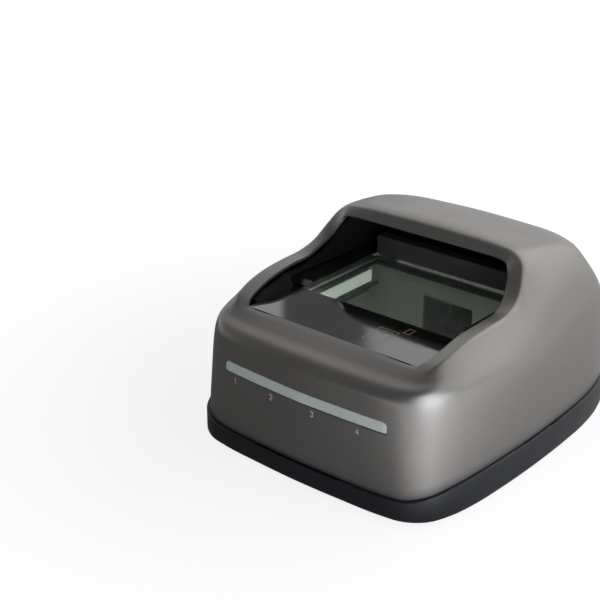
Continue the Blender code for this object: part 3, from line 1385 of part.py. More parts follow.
def make_power_jack():
    back = IO_BOARD_Y + FIT
    face = REAR_PANEL_Y + REAR_PANEL_THICK
    half = JACK_SIZE / 2
    item = merged("power_jack", [block_parts(JACK_OFFSET - half, JACK_OFFSET + half, back, face,
                                             PORT_MID - JACK_HEIGHT / 2, PORT_MID + JACK_HEIGHT / 2)],
                  matte_black("jack_black"))
    bore = merged("jack_bore", [rod_along_y(JACK_OFFSET, PORT_MID, JACK_BORE, face - USB_DEEP, face + OVERRUN, 16)])
    cut(item, bore)
    pin = merged("jack_pin", [rod_along_y(JACK_OFFSET, PORT_MID, JACK_PIN, face - USB_DEEP - FIT, face - FIT, 10)])
    fuse(item, pin)
    return item


def rocker_reach():
    return math.hypot(ROCKER_HALF, ROCKER_FACE) + FIT


def switch_height():
    return (rocker_reach() + SWITCH_WALL) * 2


def rocker_pivot_y():
    return REAR_PANEL_Y + REAR_PANEL_THICK + SWITCH_LIP_THICK - ROCKER_PIVOT_IN


def rocker_half_width():
    return SWITCH_WIDTH / 2 - SWITCH_WALL - ROCKER_SIDE_GAP


def make_switch_housing():
    """Snap-in body of the power switch, with a pocket for the rocker."""
    half = SWITCH_WIDTH / 2
    tall = switch_height() / 2
    seat = REAR_PANEL_Y + REAR_PANEL_THICK + FIT
    face = seat + SWITCH_LIP_THICK - FIT
    item = merged("switch_housing", [block_parts(SWITCH_OFFSET - half, SWITCH_OFFSET + half, face - SWITCH_DEPTH,
                                                 face, PORT_MID - tall, PORT_MID + tall)], matte_black("switch_black"))
    rim_x = half + SWITCH_LIP
    rim_z = tall + SWITCH_LIP
    rim = merged("switch_rim", [block_parts(SWITCH_OFFSET - rim_x, SWITCH_OFFSET + rim_x, seat, face,
                                            PORT_MID - rim_z, PORT_MID + rim_z)])
    fuse(item, rim)
    inner = half - SWITCH_WALL
    deep = math.hypot(ROCKER_HEEL, ROCKER_HEEL) + FIT + FIT
    pocket = merged("switch_pocket", [block_parts(SWITCH_OFFSET - inner, SWITCH_OFFSET + inner, rocker_pivot_y() - deep,
                                                  face + OVERRUN, PORT_MID - rocker_reach(),
                                                  PORT_MID + rocker_reach())])
    cut(item, pocket)
    reach = rocker_half_width() + ROCKER_PIN_LENGTH + FIT
    bore = rod_along_x(rocker_pivot_y(), PORT_MID, ROCKER_PIN_RADIUS + FIT / 2, SWITCH_OFFSET - reach,
                       SWITCH_OFFSET + reach)
    cut(item, merged("switch_pivot_bore", [bore]))
    return item


def make_power_rocker():
    """Rocker with its origin on the pivot line, resting with its lower end pressed in."""
    half = rocker_half_width()
    outline = [(-ROCKER_HEEL, -ROCKER_HEEL), (-ROCKER_HEEL, ROCKER_HEEL), (ROCKER_PIN_RADIUS, ROCKER_HALF),
               (ROCKER_FACE, ROCKER_HALF), (ROCKER_FACE - ROCKER_DIP, 0.0), (ROCKER_FACE, -ROCKER_HALF),
               (ROCKER_PIN_RADIUS, -ROCKER_HALF)]
    tilt = -math.radians(ROCKER_SWING_DEGREES / 2)
    outline = [(y * math.cos(tilt) - z * math.sin(tilt), y * math.sin(tilt) + z * math.cos(tilt)) for y, z in outline]
    item = merged("power_rocker", [prism_along_x(outline, -half, half)], gloss_black("rocker_black"))
    pins = merged("rocker_pins", [rod_along_x(0, 0, ROCKER_PIN_RADIUS, -half - ROCKER_PIN_LENGTH,
                                              half + ROCKER_PIN_LENGTH)])
    fuse(item, pins)
    place = (SWITCH_OFFSET, rocker_pivot_y(), PORT_MID)
    item.location = place
    pins.location = place
    return item


def ribbon_parts(path, width, thick, centre_x):
    """Flat cable along a path of (y, z) points."""
    verts = []
    count = len(path)
    for k, (y, z) in enumerate(path):
        before = path[max(k - 1, 0)]
        after = path[min(k + 1, count - 1)]
        run = Vector((0, after[0] - before[0], after[1] - before[1])).normalized()
        side = Vector((0, -run.z, run.y)) * (thick / 2)
        for x in (centre_x - width / 2, centre_x + width / 2):
            verts.append((x, y + side.y, z + side.z))
        for x in (centre_x + width / 2, centre_x - width / 2):
            verts.append((x, y - side.y, z - side.z))
    faces = [(0, 1, 2, 3), tuple(4 * (count - 1) + k for k in (3, 2, 1, 0))]
    for k in range(count - 1):
        a = 4 * k
        for c in range(4):
            d = (c + 1) % 4
            faces.append((a + c, a + 4 + c, a + 4 + d, a + d))
    return verts, faces


def make_camera_ribbon():
    """Flat cable from the foot of the camera board down to the header in the middle of the main board."""
    start_y = camera_board_y() + BOARD_THICK + FIT + RIBBON_THICK / 2
    start_z = AXIS_Z - CAMERA_BOARD_SIZE / 2 + RIBBON_SLACK
    end_z = MAIN_TOP + FIT + HEADER_HEIGHT + FIT + RIBBON_THICK / 2
    end_y = header_y()
    points = [Vector((0, start_y, start_z)), Vector((0, start_y, start_z - RIBBON_SLACK)),
              Vector((0, (start_y + end_y) / 2 + RIBBON_SLACK / 2, (start_z + end_z) / 2 - RIBBON_SLACK / 3)),
              Vector((0, end_y + RIBBON_SLACK / 2, end_z + RIBBON_THICK)), Vector((0, end_y, end_z))]
    path = [(p.y, p.z) for p in smooth_line(points, 3, False)]
    return merged("camera_ribbon", [ribbon_parts(path, RIBBON_WIDTH, RIBBON_THICK, 0.0)],
                  make_material("ribbon_white", (0.70, 0.70, 0.66), 0.5))


def make_lead(name, points, colour):
    line = smooth_line([Vector(p) for p in points], 4, False)
    curve = bpy.data.curves.new(name, "CURVE")
    curve.dimensions = "3D"
    curve.bevel_depth = LEAD_RADIUS
    curve.bevel_resolution = 2
    curve.use_fill_caps = True
    spline = curve.splines.new("POLY")
    spline.points.add(len(line) - 1)
    for point, place in zip(spline.points, line):
        point.co = (*place, 1.0)
    item = bpy.data.objects.new(name, curve)
    bpy.context.scene.collection.objects.link(item)
    curve.materials.append(make_material(name + "_jacket", colour, 0.5))
    return item


def make_indicator_lead():
    """Lead from the indicator board along the floor, past the chamber, to the left header."""
    x = -INDICATOR_BOARD_WIDTH / 2 + PEG_WIDTH + PEG_WIDTH
    start_y = indicator_face() + BOARD_THICK + FIT
    mid = SEAM_Z + BAR_RISE
    low = FLOOR_Z + LEAD_RADIUS * 3.5
    outside = -CHAMBER_HALF - LEAD_RADIUS * 4
    points = [(x, start_y, mid), (x, start_y + LEAD_RADIUS * 5, mid - LEAD_RADIUS),
              (x, start_y + LEAD_RADIUS * 8, SEAM_Z + BAR_RISE / 2), (x - LEAD_RADIUS, start_y + LEAD_RADIUS * 11, low + LEAD_RADIUS * 4),
              (outside, start_y + BOSS_FRONT / 2, low), (outside, CHAMBER_FRONT_Y, low),
              (outside, CHAMBER_BACK_Y - LEG_INSET, low), (outside, MAIN_FRONT_Y - LEAD_RADIUS * 6, low + LEAD_RADIUS * 2),
              (-header_x() - HEADER_WIDTH / 4, MAIN_FRONT_Y - LEAD_RADIUS * 4, MAIN_TOP + HEADER_HEIGHT / 2),
              (-header_x() - HEADER_WIDTH / 4, header_y() - HEADER_DEPTH / 2 - FIT, MAIN_TOP + HEADER_HEIGHT / 2)]
    return make_lead("indicator_lead", points, (0.03, 0.03, 0.035))


def make_lamp_lead(name, side):
    """Lead from a lamp board out through the chamber's back wall and down to its header."""
    x = side * lead_wall_x()
    y0, y1 = lamp_range()
    z = lead_z()
    start_y = y1 - LEAD_RADIUS * 3
    inner = side * (header_x() + HEADER_WIDTH / 4)
    points = [(x, start_y, z), (x, CHAMBER_BACK_Y - CHAMBER_WALL - LEAD_RADIUS, z), (x, CHAMBER_BACK_Y + LEAD_RADIUS, z),
              (x, CHAMBER_BACK_Y + LEAD_RADIUS * 4, z - LEAD_RADIUS * 3), (x, CHAMBER_BACK_Y + LEAD_RADIUS * 5, AXIS_Z),
              (inner, CHAMBER_BACK_Y + LEAD_RADIUS * 5, MAIN_TOP + HEADER_HEIGHT * 3),
              (inner, header_y(), MAIN_TOP + FIT + HEADER_HEIGHT + LEAD_RADIUS * 3),
              (inner, header_y(), MAIN_TOP + FIT + HEADER_HEIGHT + FIT + FIT)]
    return make_lead(name, points, (0.45, 0.05, 0.03) if side > 0 else (0.05, 0.05, 0.30))


def build():
    clear_scene()
    make_upper_cover()
    make_base_tray()
    make_feet()
    make_base_screws()
    make_platen_frame()
    make_frame_screws()
    make_front_panel()
    make_scan_glass()
    make_glass_gasket()
    make_reference_strip()
    make_guide("left_guide", -1)
    make_guide("right_guide", 1)
    make_rear_stop()
    make_hood_liner()
    make_light_bar()
    make_indicator_board()
    make_optical_chamber()
    make_fold_mirror()
    make_camera_bracket()
    make_camera_board()
    make_lens_holder()
    make_lens_barrel()
    make_lamp_board("left_lamp_board", -1)
    make_lamp_board("right_lamp_board", 1)
    make_diffuser("left_diffuser", -1)
    make_diffuser("right_diffuser", 1)
    make_antenna_board()
    make_document_sensor()
    make_main_board()
    make_board_screws()
    make_processor()
    make_heat_sink()
    make_buzzer()
    make_capacitor()
    make_header("camera_header", 0.0)
    make_header("left_header", -header_x())
    make_header("right_header", header_x())
    make_rear_panel()
    make_io_board()
    make_usb_socket()
    make_power_jack()
    make_switch_housing()
    make_power_rocker()
    make_camera_ribbon()
    make_indicator_lead()
    make_lamp_lead("left_lamp_lead", -1)
    make_lamp_lead("right_lamp_lead", 1)


build()
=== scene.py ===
import math
import bmesh
import bpy
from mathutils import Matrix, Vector
from mathutils.bvhtree import BVHTree


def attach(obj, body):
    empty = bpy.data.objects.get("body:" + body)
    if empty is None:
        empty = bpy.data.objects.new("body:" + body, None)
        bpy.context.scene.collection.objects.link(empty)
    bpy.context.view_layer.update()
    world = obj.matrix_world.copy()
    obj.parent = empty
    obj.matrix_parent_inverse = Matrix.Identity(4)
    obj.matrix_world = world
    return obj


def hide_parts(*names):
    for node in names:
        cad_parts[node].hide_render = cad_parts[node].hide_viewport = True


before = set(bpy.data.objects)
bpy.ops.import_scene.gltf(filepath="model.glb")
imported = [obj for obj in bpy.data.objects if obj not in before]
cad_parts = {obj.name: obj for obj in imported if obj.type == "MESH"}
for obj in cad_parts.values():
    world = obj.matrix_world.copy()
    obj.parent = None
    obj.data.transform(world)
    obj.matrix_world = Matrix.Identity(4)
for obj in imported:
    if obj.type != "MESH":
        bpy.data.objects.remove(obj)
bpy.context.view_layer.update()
housing = "housing"

# Table top, soft light and viewpoint
# The reader stands on a pale table, seen from the front right and from above; the table carries a
# painted shade round the reader's foot and painted reflections.
# A broad soft lamp hangs behind it at the right, and a low wide one stands before its front corner.
view = bpy.data.objects.new("view", bpy.data.cameras.new("view"))
bpy.context.scene.collection.objects.link(view)
view.data.lens = 75.869
view.data.sensor_width = 36.0
view.data.shift_x = -0.0201
view.data.shift_y = 0.0259
view.data.clip_start = 0.01
view.location = (0.476353, -0.681440, 0.459495)
view.rotation_euler = (math.radians(65.2994), 0.0, math.radians(40.0673))
bpy.context.scene.camera = view
bpy.context.scene.view_settings.view_transform = "Standard"


def soft_lamp(name, place, target, width, height, power, colour):
    lamp = bpy.data.objects.new(name, bpy.data.lights.new(name, "AREA"))
    lamp.data.shape = "RECTANGLE"
    lamp.data.size = width
    lamp.data.size_y = height
    lamp.data.energy = power
    lamp.data.color = colour
    lamp.location = place
    lamp.rotation_euler = (Vector(target) - Vector(place)).to_track_quat("-Z", "Y").to_euler()
    bpy.context.scene.collection.objects.link(lamp)


soft_lamp("rear_lamp", (0.80, 0.78, 0.98), (0.0, 0.02, 0.10), 2.0, 1.8, 10.0, (1.0, 0.99, 0.97))
soft_lamp("corner_lamp", (0.60, -0.31, 0.15), (0.10, -0.11, 0.08), 0.46, 0.28, 2.2, (0.90, 0.94, 1.0))


def switched(nodes, links, kinds):
    """One where a ray of one of these kinds meets the surface."""
    path = nodes.new("ShaderNodeLightPath")
    value = path.outputs[kinds[0]]
    for kind in kinds[1:]:
        value = joined(nodes, links, "MAXIMUM", value, path.outputs[kind])
    return value


def facing(nodes, links, where, way):
    """How far a place or direction lies along a way."""
    along = nodes.new("ShaderNodeVectorMath")
    along.operation = "DOT_PRODUCT"
    along.inputs[1].default_value = way
    links.new(where, along.inputs[0])
    return along.outputs["Value"]


def faded(nodes, links, value, spans, interpolation="LINEAR"):
    """Takes a value from one span to another and stops at its ends."""
    fade = nodes.new("ShaderNodeMapRange")
    fade.interpolation_type = interpolation
    links.new(value, fade.inputs["Value"])
    for socket, number in zip(("From Min", "From Max", "To Min", "To Max"), spans):
        fade.inputs[socket].default_value = number
    return fade.outputs["Result"]


def joined(nodes, links, operation, *values):
    """Maths on two or three values."""
    node = nodes.new("ShaderNodeMath")
    node.operation = operation
    for slot, value in enumerate(values):
        if isinstance(value, bpy.types.NodeSocket):
            links.new(value, node.inputs[slot])
        else:
            node.inputs[slot].default_value = value
    return node.outputs[0]


def make_room():
    """White to the eye and through glass. Glossy rays alone see a painted reflection: white screens
    behind the reader and at its left, with a dark gap between the two behind it, and a dim room
    before it. The screens shed no light on the reader."""
    room = bpy.data.worlds.new("room")
    room.use_nodes = True
    nodes = room.node_tree.nodes
    links = room.node_tree.links
    nodes.clear()
    where = nodes.new("ShaderNodeTexCoord").outputs["Generated"]
    backward = facing(nodes, links, where, (-0.25, 0.92, 0.10))
    rear = faded(nodes, links, backward, (0.05, 0.85, 0.10, 1.05), "SMOOTHSTEP")
    across = facing(nodes, links, where, (0.775, 0.632, 0.0))
    off_centre = joined(nodes, links, "ABSOLUTE", joined(nodes, links, "ADD", across, 0.0035))
    gap = faded(nodes, links, off_centre, (0.031, 0.037, 0.22, 1.0))
    apart = nodes.new("ShaderNodeSeparateXYZ")
    links.new(where, apart.inputs[0])
    left = faded(nodes, links, apart.outputs["X"], (-0.95, -0.72, 0.95, 0.0))
    # Painted reflection: only glossy rays see these bright screens and the dark gap, which light
    # nothing.
    painted_screens = joined(nodes, links, "MAXIMUM", joined(nodes, links, "MULTIPLY", rear, gap), left)
    ambient, mirrored, white = [nodes.new("ShaderNodeBackground") for _ in range(3)]
    for background in (ambient, mirrored, white):
        background.inputs["Color"].default_value = (1.0, 1.0, 1.0, 1.0)
    ambient.inputs["Strength"].default_value = 0.10
    links.new(painted_screens, mirrored.inputs["Strength"])
    first = nodes.new("ShaderNodeMixShader")
    links.new(switched(nodes, links, ["Is Glossy Ray"]), first.inputs[0])
    links.new(ambient.outputs[0], first.inputs[1])
    links.new(mirrored.outputs[0], first.inputs[2])
    second = nodes.new("ShaderNodeMixShader")
    links.new(switched(nodes, links, ["Is Camera Ray", "Is Transmission Ray"]), second.inputs[0])
    links.new(first.outputs[0], second.inputs[1])
    links.new(white.outputs[0], second.inputs[2])
    links.new(second.outputs[0], nodes.new("ShaderNodeOutputWorld").inputs[0])
    return room


bpy.context.scene.world = make_room()


def make_table():
    """A table that looks white, with a painted shade: the glow the camera sees is weaker near the
    reader.
    Only glossy rays see it bright at the right and before the front corner, a painted reflection that
    lays highlights on the cover's right side and front corner.
    """
    half = 6.0
    mesh = bpy.data.meshes.new("table_top")
    mesh.from_pydata([(-half, -half, 0), (half, -half, 0), (half, half, 0), (-half, half, 0)], [],
                     [(0, 1, 2, 3)])
    table = bpy.data.objects.new("table_top", mesh)
    bpy.context.scene.collection.objects.link(table)
    finish = bpy.data.materials.new("table_white")
    finish.use_nodes = True
    nodes = finish.node_tree.nodes
    links = finish.node_tree.links
    nodes.clear()
    diffuse = nodes.new("ShaderNodeBsdfDiffuse")
    diffuse.inputs["Color"].default_value = (0.32, 0.32, 0.32, 1.0)
    glow = nodes.new("ShaderNodeEmission")
    glow.inputs["Color"].default_value = (1.0, 1.0, 1.0, 1.0)
    where = nodes.new("ShaderNodeTexCoord").outputs["Object"]
    apart = nodes.new("ShaderNodeVectorMath")
    apart.operation = "LENGTH"
    links.new(where, apart.inputs[0])
    # Painted shade: the glow the camera sees is weaker close to the reader, so the table is darker
    # round its foot, and it reaches full white from 0.6 m out.
    far = faded(nodes, links, apart.outputs["Value"], (0.22, 0.60, 0.84, 1.0))
    seen = switched(nodes, links, ["Is Camera Ray", "Is Transmission Ray"])
    share = joined(nodes, links, "MULTIPLY", seen, far)
    # Painted reflection: only glossy rays see the table bright at the right and before the front
    # corner, which lays painted highlights on the cover's side and corner.
    rightward = facing(nodes, links, where, (0.77, 0.64, 0.0))
    right = faded(nodes, links, rightward, (-0.05, 0.35, 0.08, 0.62))
    cornerward = facing(nodes, links, where, (0.91, -0.42, 0.0))
    painted_corner_highlight = faded(nodes, links, cornerward, (0.12, 0.25, 0.0, 1.15), "SMOOTHSTEP")
    mirrored = joined(nodes, links, "MULTIPLY_ADD", switched(nodes, links, ["Is Glossy Ray"]),
                      joined(nodes, links, "MAXIMUM", right, painted_corner_highlight), share)
    links.new(mirrored, glow.inputs["Strength"])
    both = nodes.new("ShaderNodeAddShader")
    links.new(diffuse.outputs[0], both.inputs[0])
    links.new(glow.outputs[0], both.inputs[1])
    links.new(both.outputs[0], nodes.new("ShaderNodeOutputMaterial").inputs[0])
    mesh.materials.append(finish)


make_table()

# Rubber feet
# Four low discs of soft black rubber, pressed into round recesses under the base tray.
# Moulded rubber has a dull skin with a fine even grain and picks up a little pale dust.
feet = ["foot_front_left", "foot_front_right", "foot_rear_left", "foot_rear_right"]


def group_tree(name, ins, outs):
    tree = bpy.data.node_groups.new(name, "ShaderNodeTree")
    for socket, value in ins:
        made = tree.interface.new_socket(socket, in_out="INPUT", socket_type="NodeSocketFloat")
        made.default_value = value
    for socket in outs:
        tree.interface.new_socket(socket, in_out="OUTPUT", socket_type="NodeSocketFloat")
    return tree, tree.nodes.new("NodeGroupInput"), tree.nodes.new("NodeGroupOutput")


def wire(tree, kind, settings=None, **inputs):
    """Adds a node, sets its options, and joins or sets its inputs by name."""
    node = tree.nodes.new(kind)
    for option, value in (settings or {}).items():
        setattr(node, option, value)
    for socket, value in inputs.items():
        target = node.inputs[socket.replace("_", " ")]
        if isinstance(value, bpy.types.NodeSocket):
            tree.links.new(value, target)
        else:
            target.default_value = value
    return node


def reckon(tree, operation, first, second):
    return joined(tree.nodes, tree.links, operation, first, second)


def level(tree, value, low, high, to_low, to_high):
    return faded(tree.nodes, tree.links, value, (low, high, to_low, to_high))


def make_mould_grain():
    """Spark-eroded mould texture: rounded pits with a slow change of depth."""
    tree, given, result = group_tree("mould_grain", [("Scale", 900.0), ("Unevenness", 0.3)],
                                     ["Height", "Tone"])
    where = tree.nodes.new("ShaderNodeTexCoord").outputs["Object"]
    pits = wire(tree, "ShaderNodeTexVoronoi", {"feature": "SMOOTH_F1"}, Vector=where,
                Scale=given.outputs["Scale"])
    soft = wire(tree, "ShaderNodeTexNoise", None, Vector=where,
                Scale=reckon(tree, "MULTIPLY", given.outputs["Scale"], 0.45), Detail=3.0)
    slow = wire(tree, "ShaderNodeTexNoise", None, Vector=where, Scale=26.0, Detail=2.0)
    blend = reckon(tree, "MULTIPLY", slow.outputs["Fac"], given.outputs["Unevenness"])
    pitted = reckon(tree, "MULTIPLY", pits.outputs["Distance"], 0.6)
    height = reckon(tree, "ADD", pitted, soft.outputs["Fac"])
    tree.links.new(reckon(tree, "ADD", height, blend), result.inputs["Height"])
    fine_half = reckon(tree, "MULTIPLY", soft.outputs["Fac"], 0.5)
    slow_half = reckon(tree, "MULTIPLY", slow.outputs["Fac"], 0.5)
    tree.links.new(reckon(tree, "ADD", fine_half, slow_half), result.inputs["Tone"])
    return tree


def make_handling_marks():
    """Dull patches left by hands and wiping, and sparse pale dust."""
    tree, given, result = group_tree("handling_marks", [("Scale", 18.0)], ["Smudge", "Dust"])
    where = tree.nodes.new("ShaderNodeTexCoord").outputs["Object"]
    broad = wire(tree, "ShaderNodeTexNoise", None, Vector=where, Scale=given.outputs["Scale"],
                 Detail=5.0, Distortion=1.2)
    specks = wire(tree, "ShaderNodeTexVoronoi", None, Vector=where,
                  Scale=reckon(tree, "MULTIPLY", given.outputs["Scale"], 26.0))
    smudge = level(tree, broad.outputs["Fac"], 0.42, 0.68, 0.0, 1.0)
    tree.links.new(smudge, result.inputs["Smudge"])
    dust = level(tree, specks.outputs["Distance"], 0.04, 0.10, 1.0, 0.0)
    tree.links.new(dust, result.inputs["Dust"])
    return tree


mould_grain = make_mould_grain()
handling_marks = make_handling_marks()


def use_group(tree, group, **inputs):
    node = wire(tree, "ShaderNodeGroup", {"node_tree": group})
    for socket, value in inputs.items():
        node.inputs[socket].default_value = value
    return node


def bare_material(name):
    material = bpy.data.materials.new(name)
    material.use_nodes = True
    return material, material.node_tree, material.node_tree.nodes["Principled BSDF"]


def two_tone(tree, mask, dark, light):
    ramp = tree.nodes.new("ShaderNodeValToRGB")
    ramp.color_ramp.elements[0].position = 0.3
    ramp.color_ramp.elements[0].color = (*dark, 1.0)
    ramp.color_ramp.elements[1].position = 0.7
    ramp.color_ramp.elements[1].color = (*light, 1.0)
    tree.links.new(mask, ramp.inputs[0])
    return ramp.outputs["Color"]


def dusted(tree, colour, dust, amount):
    """Mixes a little pale grey over a colour where the dust lies."""
    mix = tree.nodes.new("ShaderNodeMix")
    mix.data_type = "RGBA"
    mix.inputs["B"].default_value = (0.42, 0.41, 0.39, 1.0)
    tree.links.new(reckon(tree, "MULTIPLY", dust, amount), mix.inputs["Factor"])
    tree.links.new(colour, mix.inputs["A"])
    return mix.outputs["Result"]


def moulded_finish(name, colour, roughness, grain, depth, dust=0.10, coat=0.0):
    """Moulded plastic or rubber: grain, an uneven sheen, faint marks and dust."""
    material, tree, shader = bare_material(name)
    contrast = 0.12
    spread = 0.09
    texture = use_group(tree, mould_grain, Scale=grain, Unevenness=0.4)
    marks = use_group(tree, handling_marks, Scale=19.0)
    dark = [c * (1 - contrast) for c in colour]
    light = [c * (1 + contrast) + 0.002 for c in colour]
    body = two_tone(tree, texture.outputs["Tone"], dark, light)
    tree.links.new(dusted(tree, body, marks.outputs["Dust"], dust), shader.inputs["Base Color"])
    sheen = level(tree, marks.outputs["Smudge"], 0.0, 1.0,
                  roughness - spread / 2, roughness + spread / 2)
    tree.links.new(sheen, shader.inputs["Roughness"])
    relief(tree, shader, 0.35, depth, texture.outputs["Height"])
    if coat:
        shader.inputs["Coat Weight"].default_value = coat
        shader.inputs["Coat Roughness"].default_value = 0.12
    return material


def relief(tree, shader, strength, depth, height):
    bump = wire(tree, "ShaderNodeBump", None, Strength=strength, Distance=depth, Height=height)
    tree.links.new(bump.outputs[0], shader.inputs["Normal"])


def dress(names, material):
    for name in names:
        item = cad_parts[name]
        item.data.materials.clear()
        item.data.materials.append(material)


def tune(material, **inputs):
    """Sets constants of a finished material's shader by name."""
    shader = material.node_tree.nodes["Principled BSDF"]
    for socket, value in inputs.items():
        shader.inputs[socket.replace("_", " ")].default_value = value
    return material


dress(feet, moulded_finish("foot_rubber", (0.016, 0.016, 0.016), 0.82, 1500.0, 0.00012, dust=0.35))

# Base tray
# The charcoal bottom moulding that carries everything, with a wall that the cover stands on.
# It is black-blue plastic with a satin spark-eroded skin, closed from below by four long screws.
tray_plastic = tune(moulded_finish("tray_plastic", (0.013, 0.015, 0.020), 0.38, 1300.0, 0.00005),
                    Specular_IOR_Level=0.4)
dress(["base_tray"], tray_plastic)


def plated_finish(name, colour, roughness):
    """Plated or folded steel with a fine drawn grain and duller worn patches."""
    material, tree, shader = bare_material(name)
    where = wire(tree, "ShaderNodeMapping", None,
                 Vector=tree.nodes.new("ShaderNodeTexCoord").outputs["Object"])
    where.inputs["Scale"].default_value = (1.0, 14.0, 14.0)
    drawn = wire(tree, "ShaderNodeTexNoise", None, Vector=where.outputs[0], Scale=420.0, Detail=4.0)
    marks = use_group(tree, handling_marks, Scale=60.0)
    dark = [c * 0.86 for c in colour]
    tree.links.new(two_tone(tree, drawn.outputs["Fac"], dark, colour), shader.inputs["Base Color"])
    shader.inputs["Metallic"].default_value = 1.0
    tree.links.new(level(tree, marks.outputs["Smudge"], 0.0, 1.0, roughness, roughness + 0.16),
                   shader.inputs["Roughness"])
    relief(tree, shader, 0.25, 0.00002, drawn.outputs["Fac"])
    return material


corners = ["front_left", "front_right", "rear_left", "rear_right"]
dress(["base_screw_" + corner for corner in corners],
      plated_finish("base_screw_steel", (0.55, 0.56, 0.57), 0.24))

# Main board
# The printed board that reads the camera, held to four posts of the tray by small screws.
# Green solder mask over copper tracks, with a chip, a finned sink, a sounder and plug headers.


def make_copper_tracks():
    """Straight tracks between rows of round pads, seen through the solder mask."""
    tree, given, result = group_tree("copper_tracks", [("Scale", 120.0)], ["Track", "Pad"])
    where = tree.nodes.new("ShaderNodeTexCoord").outputs["Object"]
    rows = wire(tree, "ShaderNodeTexBrick", {"offset": 0.37, "squash": 1.7, "squash_frequency": 3},
                Vector=where, Scale=given.outputs["Scale"], Mortar_Size=0.045, Mortar_Smooth=0.2,
                Brick_Width=1.9, Row_Height=0.33)
    dots = wire(tree, "ShaderNodeTexVoronoi", None, Vector=where,
                Scale=reckon(tree, "MULTIPLY", given.outputs["Scale"], 1.6))
    tree.links.new(rows.outputs["Fac"], result.inputs["Track"])
    pad = level(tree, dots.outputs["Distance"], 0.13, 0.17, 1.0, 0.0)
    tree.links.new(pad, result.inputs["Pad"])
    return tree


copper_tracks = make_copper_tracks()


def printed_board_finish(name, mask):
    material, tree, shader = bare_material(name)
    print_lines = use_group(tree, copper_tracks, Scale=150.0)
    light = [c * 2.1 + 0.01 for c in mask]
    tracks = tree.nodes.new("ShaderNodeMix")
    tracks.data_type = "RGBA"
    tracks.inputs["A"].default_value = (*mask, 1.0)
    tracks.inputs["B"].default_value = (*light, 1.0)
    tree.links.new(print_lines.outputs["Track"], tracks.inputs["Factor"])
    pads = tree.nodes.new("ShaderNodeMix")
    pads.data_type = "RGBA"
    pads.inputs["B"].default_value = (0.62, 0.60, 0.50, 1.0)
    tree.links.new(tracks.outputs["Result"], pads.inputs["A"])
    tree.links.new(print_lines.outputs["Pad"], pads.inputs["Factor"])
    tree.links.new(pads.outputs["Result"], shader.inputs["Base Color"])
    tree.links.new(level(tree, print_lines.outputs["Pad"], 0.0, 1.0, 0.34, 0.22),
                   shader.inputs["Roughness"])
    relief(tree, shader, 0.4, 0.00004, print_lines.outputs["Track"])
    return material


dress(["main_board", "io_board"], printed_board_finish("board_green", (0.012, 0.085, 0.038)))
dress(["board_screw_" + corner for corner in corners],
      plated_finish("board_screw_steel", (0.60, 0.60, 0.60), 0.22))
dress(["processor"], moulded_finish("chip_black", (0.020, 0.020, 0.022), 0.5, 2600.0, 0.00003))
dress(["buzzer"], moulded_finish("sounder_black", (0.016, 0.016, 0.017), 0.4, 1600.0, 0.00004))
dress(["camera_header", "left_header", "right_header"],
      moulded_finish("header_ivory", (0.58, 0.53, 0.40), 0.45, 2000.0, 0.00003))
dress(["board_capacitor"],
      moulded_finish("sleeve_blue", (0.030, 0.045, 0.13), 0.28, 900.0, 0.00002))
dress(["heat_sink"], plated_finish("sink_aluminium", (0.64, 0.65, 0.67), 0.34))

# Optical chamber
# A box that hangs under the platen frame, with a mirror folding the view back to a camera.
# Its inside is matt grey-green, and lamps behind frosted sheets at both sides light the page.
dress(["optical_chamber"],
      moulded_finish("chamber_grey", (0.64, 0.66, 0.60), 0.72, 1100.0, 0.00008))
dress(["lens_holder"], moulded_finish("holder_black", (0.016, 0.016, 0.017), 0.5, 1500.0, 0.00004))
dress(["camera_bracket"], plated_finish("bracket_steel", (0.58, 0.59, 0.60), 0.30))
dress(["camera_board", "left_lamp_board", "right_lamp_board", "indicator_board", "antenna_board"],
      printed_board_finish("small_board_green", (0.010, 0.070, 0.034)))


def silvered_finish():
    material, tree, shader = bare_material("mirror_silver")
    marks = use_group(tree, handling_marks, Scale=30.0)
    tree.links.new(two_tone(tree, marks.outputs["Smudge"], (0.80, 0.83, 0.84), (0.86, 0.88, 0.89)),
                   shader.inputs["Base Color"])
    shader.inputs["Metallic"].default_value = 1.0
    tree.links.new(level(tree, marks.outputs["Smudge"], 0.0, 1.0, 0.02, 0.07),
                   shader.inputs["Roughness"])
    return material


dress(["fold_mirror"], silvered_finish())


def ringed_barrel_finish():
    """Black anodised barrel with fine turned rings."""
    material, tree, shader = bare_material("barrel_black")
    where = tree.nodes.new("ShaderNodeTexCoord").outputs["Object"]
    rings = wire(tree, "ShaderNodeTexWave", {"bands_direction": "Y"}, Vector=where, Scale=260.0,
                 Distortion=0.0)
    body = two_tone(tree, rings.outputs["Fac"], (0.010, 0.010, 0.011), (0.030, 0.030, 0.032))
    tree.links.new(body, shader.inputs["Base Color"])
    tree.links.new(level(tree, rings.outputs["Fac"], 0.0, 1.0, 0.22, 0.38),
                   shader.inputs["Roughness"])
    relief(tree, shader, 0.6, 0.0001, rings.outputs["Fac"])
    return material


dress(["lens_barrel"], ringed_barrel_finish())


def frosted_finish(name, dark, light, roughness, scale=700.0):
    """Frosted sheet: a milky body with a fine etched skin."""
    material, tree, shader = bare_material(name)
    texture = use_group(tree, mould_grain, Scale=scale, Unevenness=0.6)
    body = two_tone(tree, texture.outputs["Tone"], dark, light)
    tree.links.new(body, shader.inputs["Base Color"])
    sheen = level(tree, texture.outputs["Tone"], 0.3, 0.7, roughness - 0.05, roughness + 0.08)
    tree.links.new(sheen, shader.inputs["Roughness"])
    shader.inputs["Subsurface Weight"].default_value = 0.15
    shader.inputs["Subsurface Scale"].default_value = 0.002
    relief(tree, shader, 0.2, 0.00003, texture.outputs["Height"])
    return material


dress(["left_diffuser", "right_diffuser"],
      tune(frosted_finish("diffuser_frost", (0.62, 0.70, 0.66), (0.74, 0.81, 0.77), 0.5),
           Emission_Color=(0.90, 1.0, 0.90, 1.0), Emission_Strength=0.5))

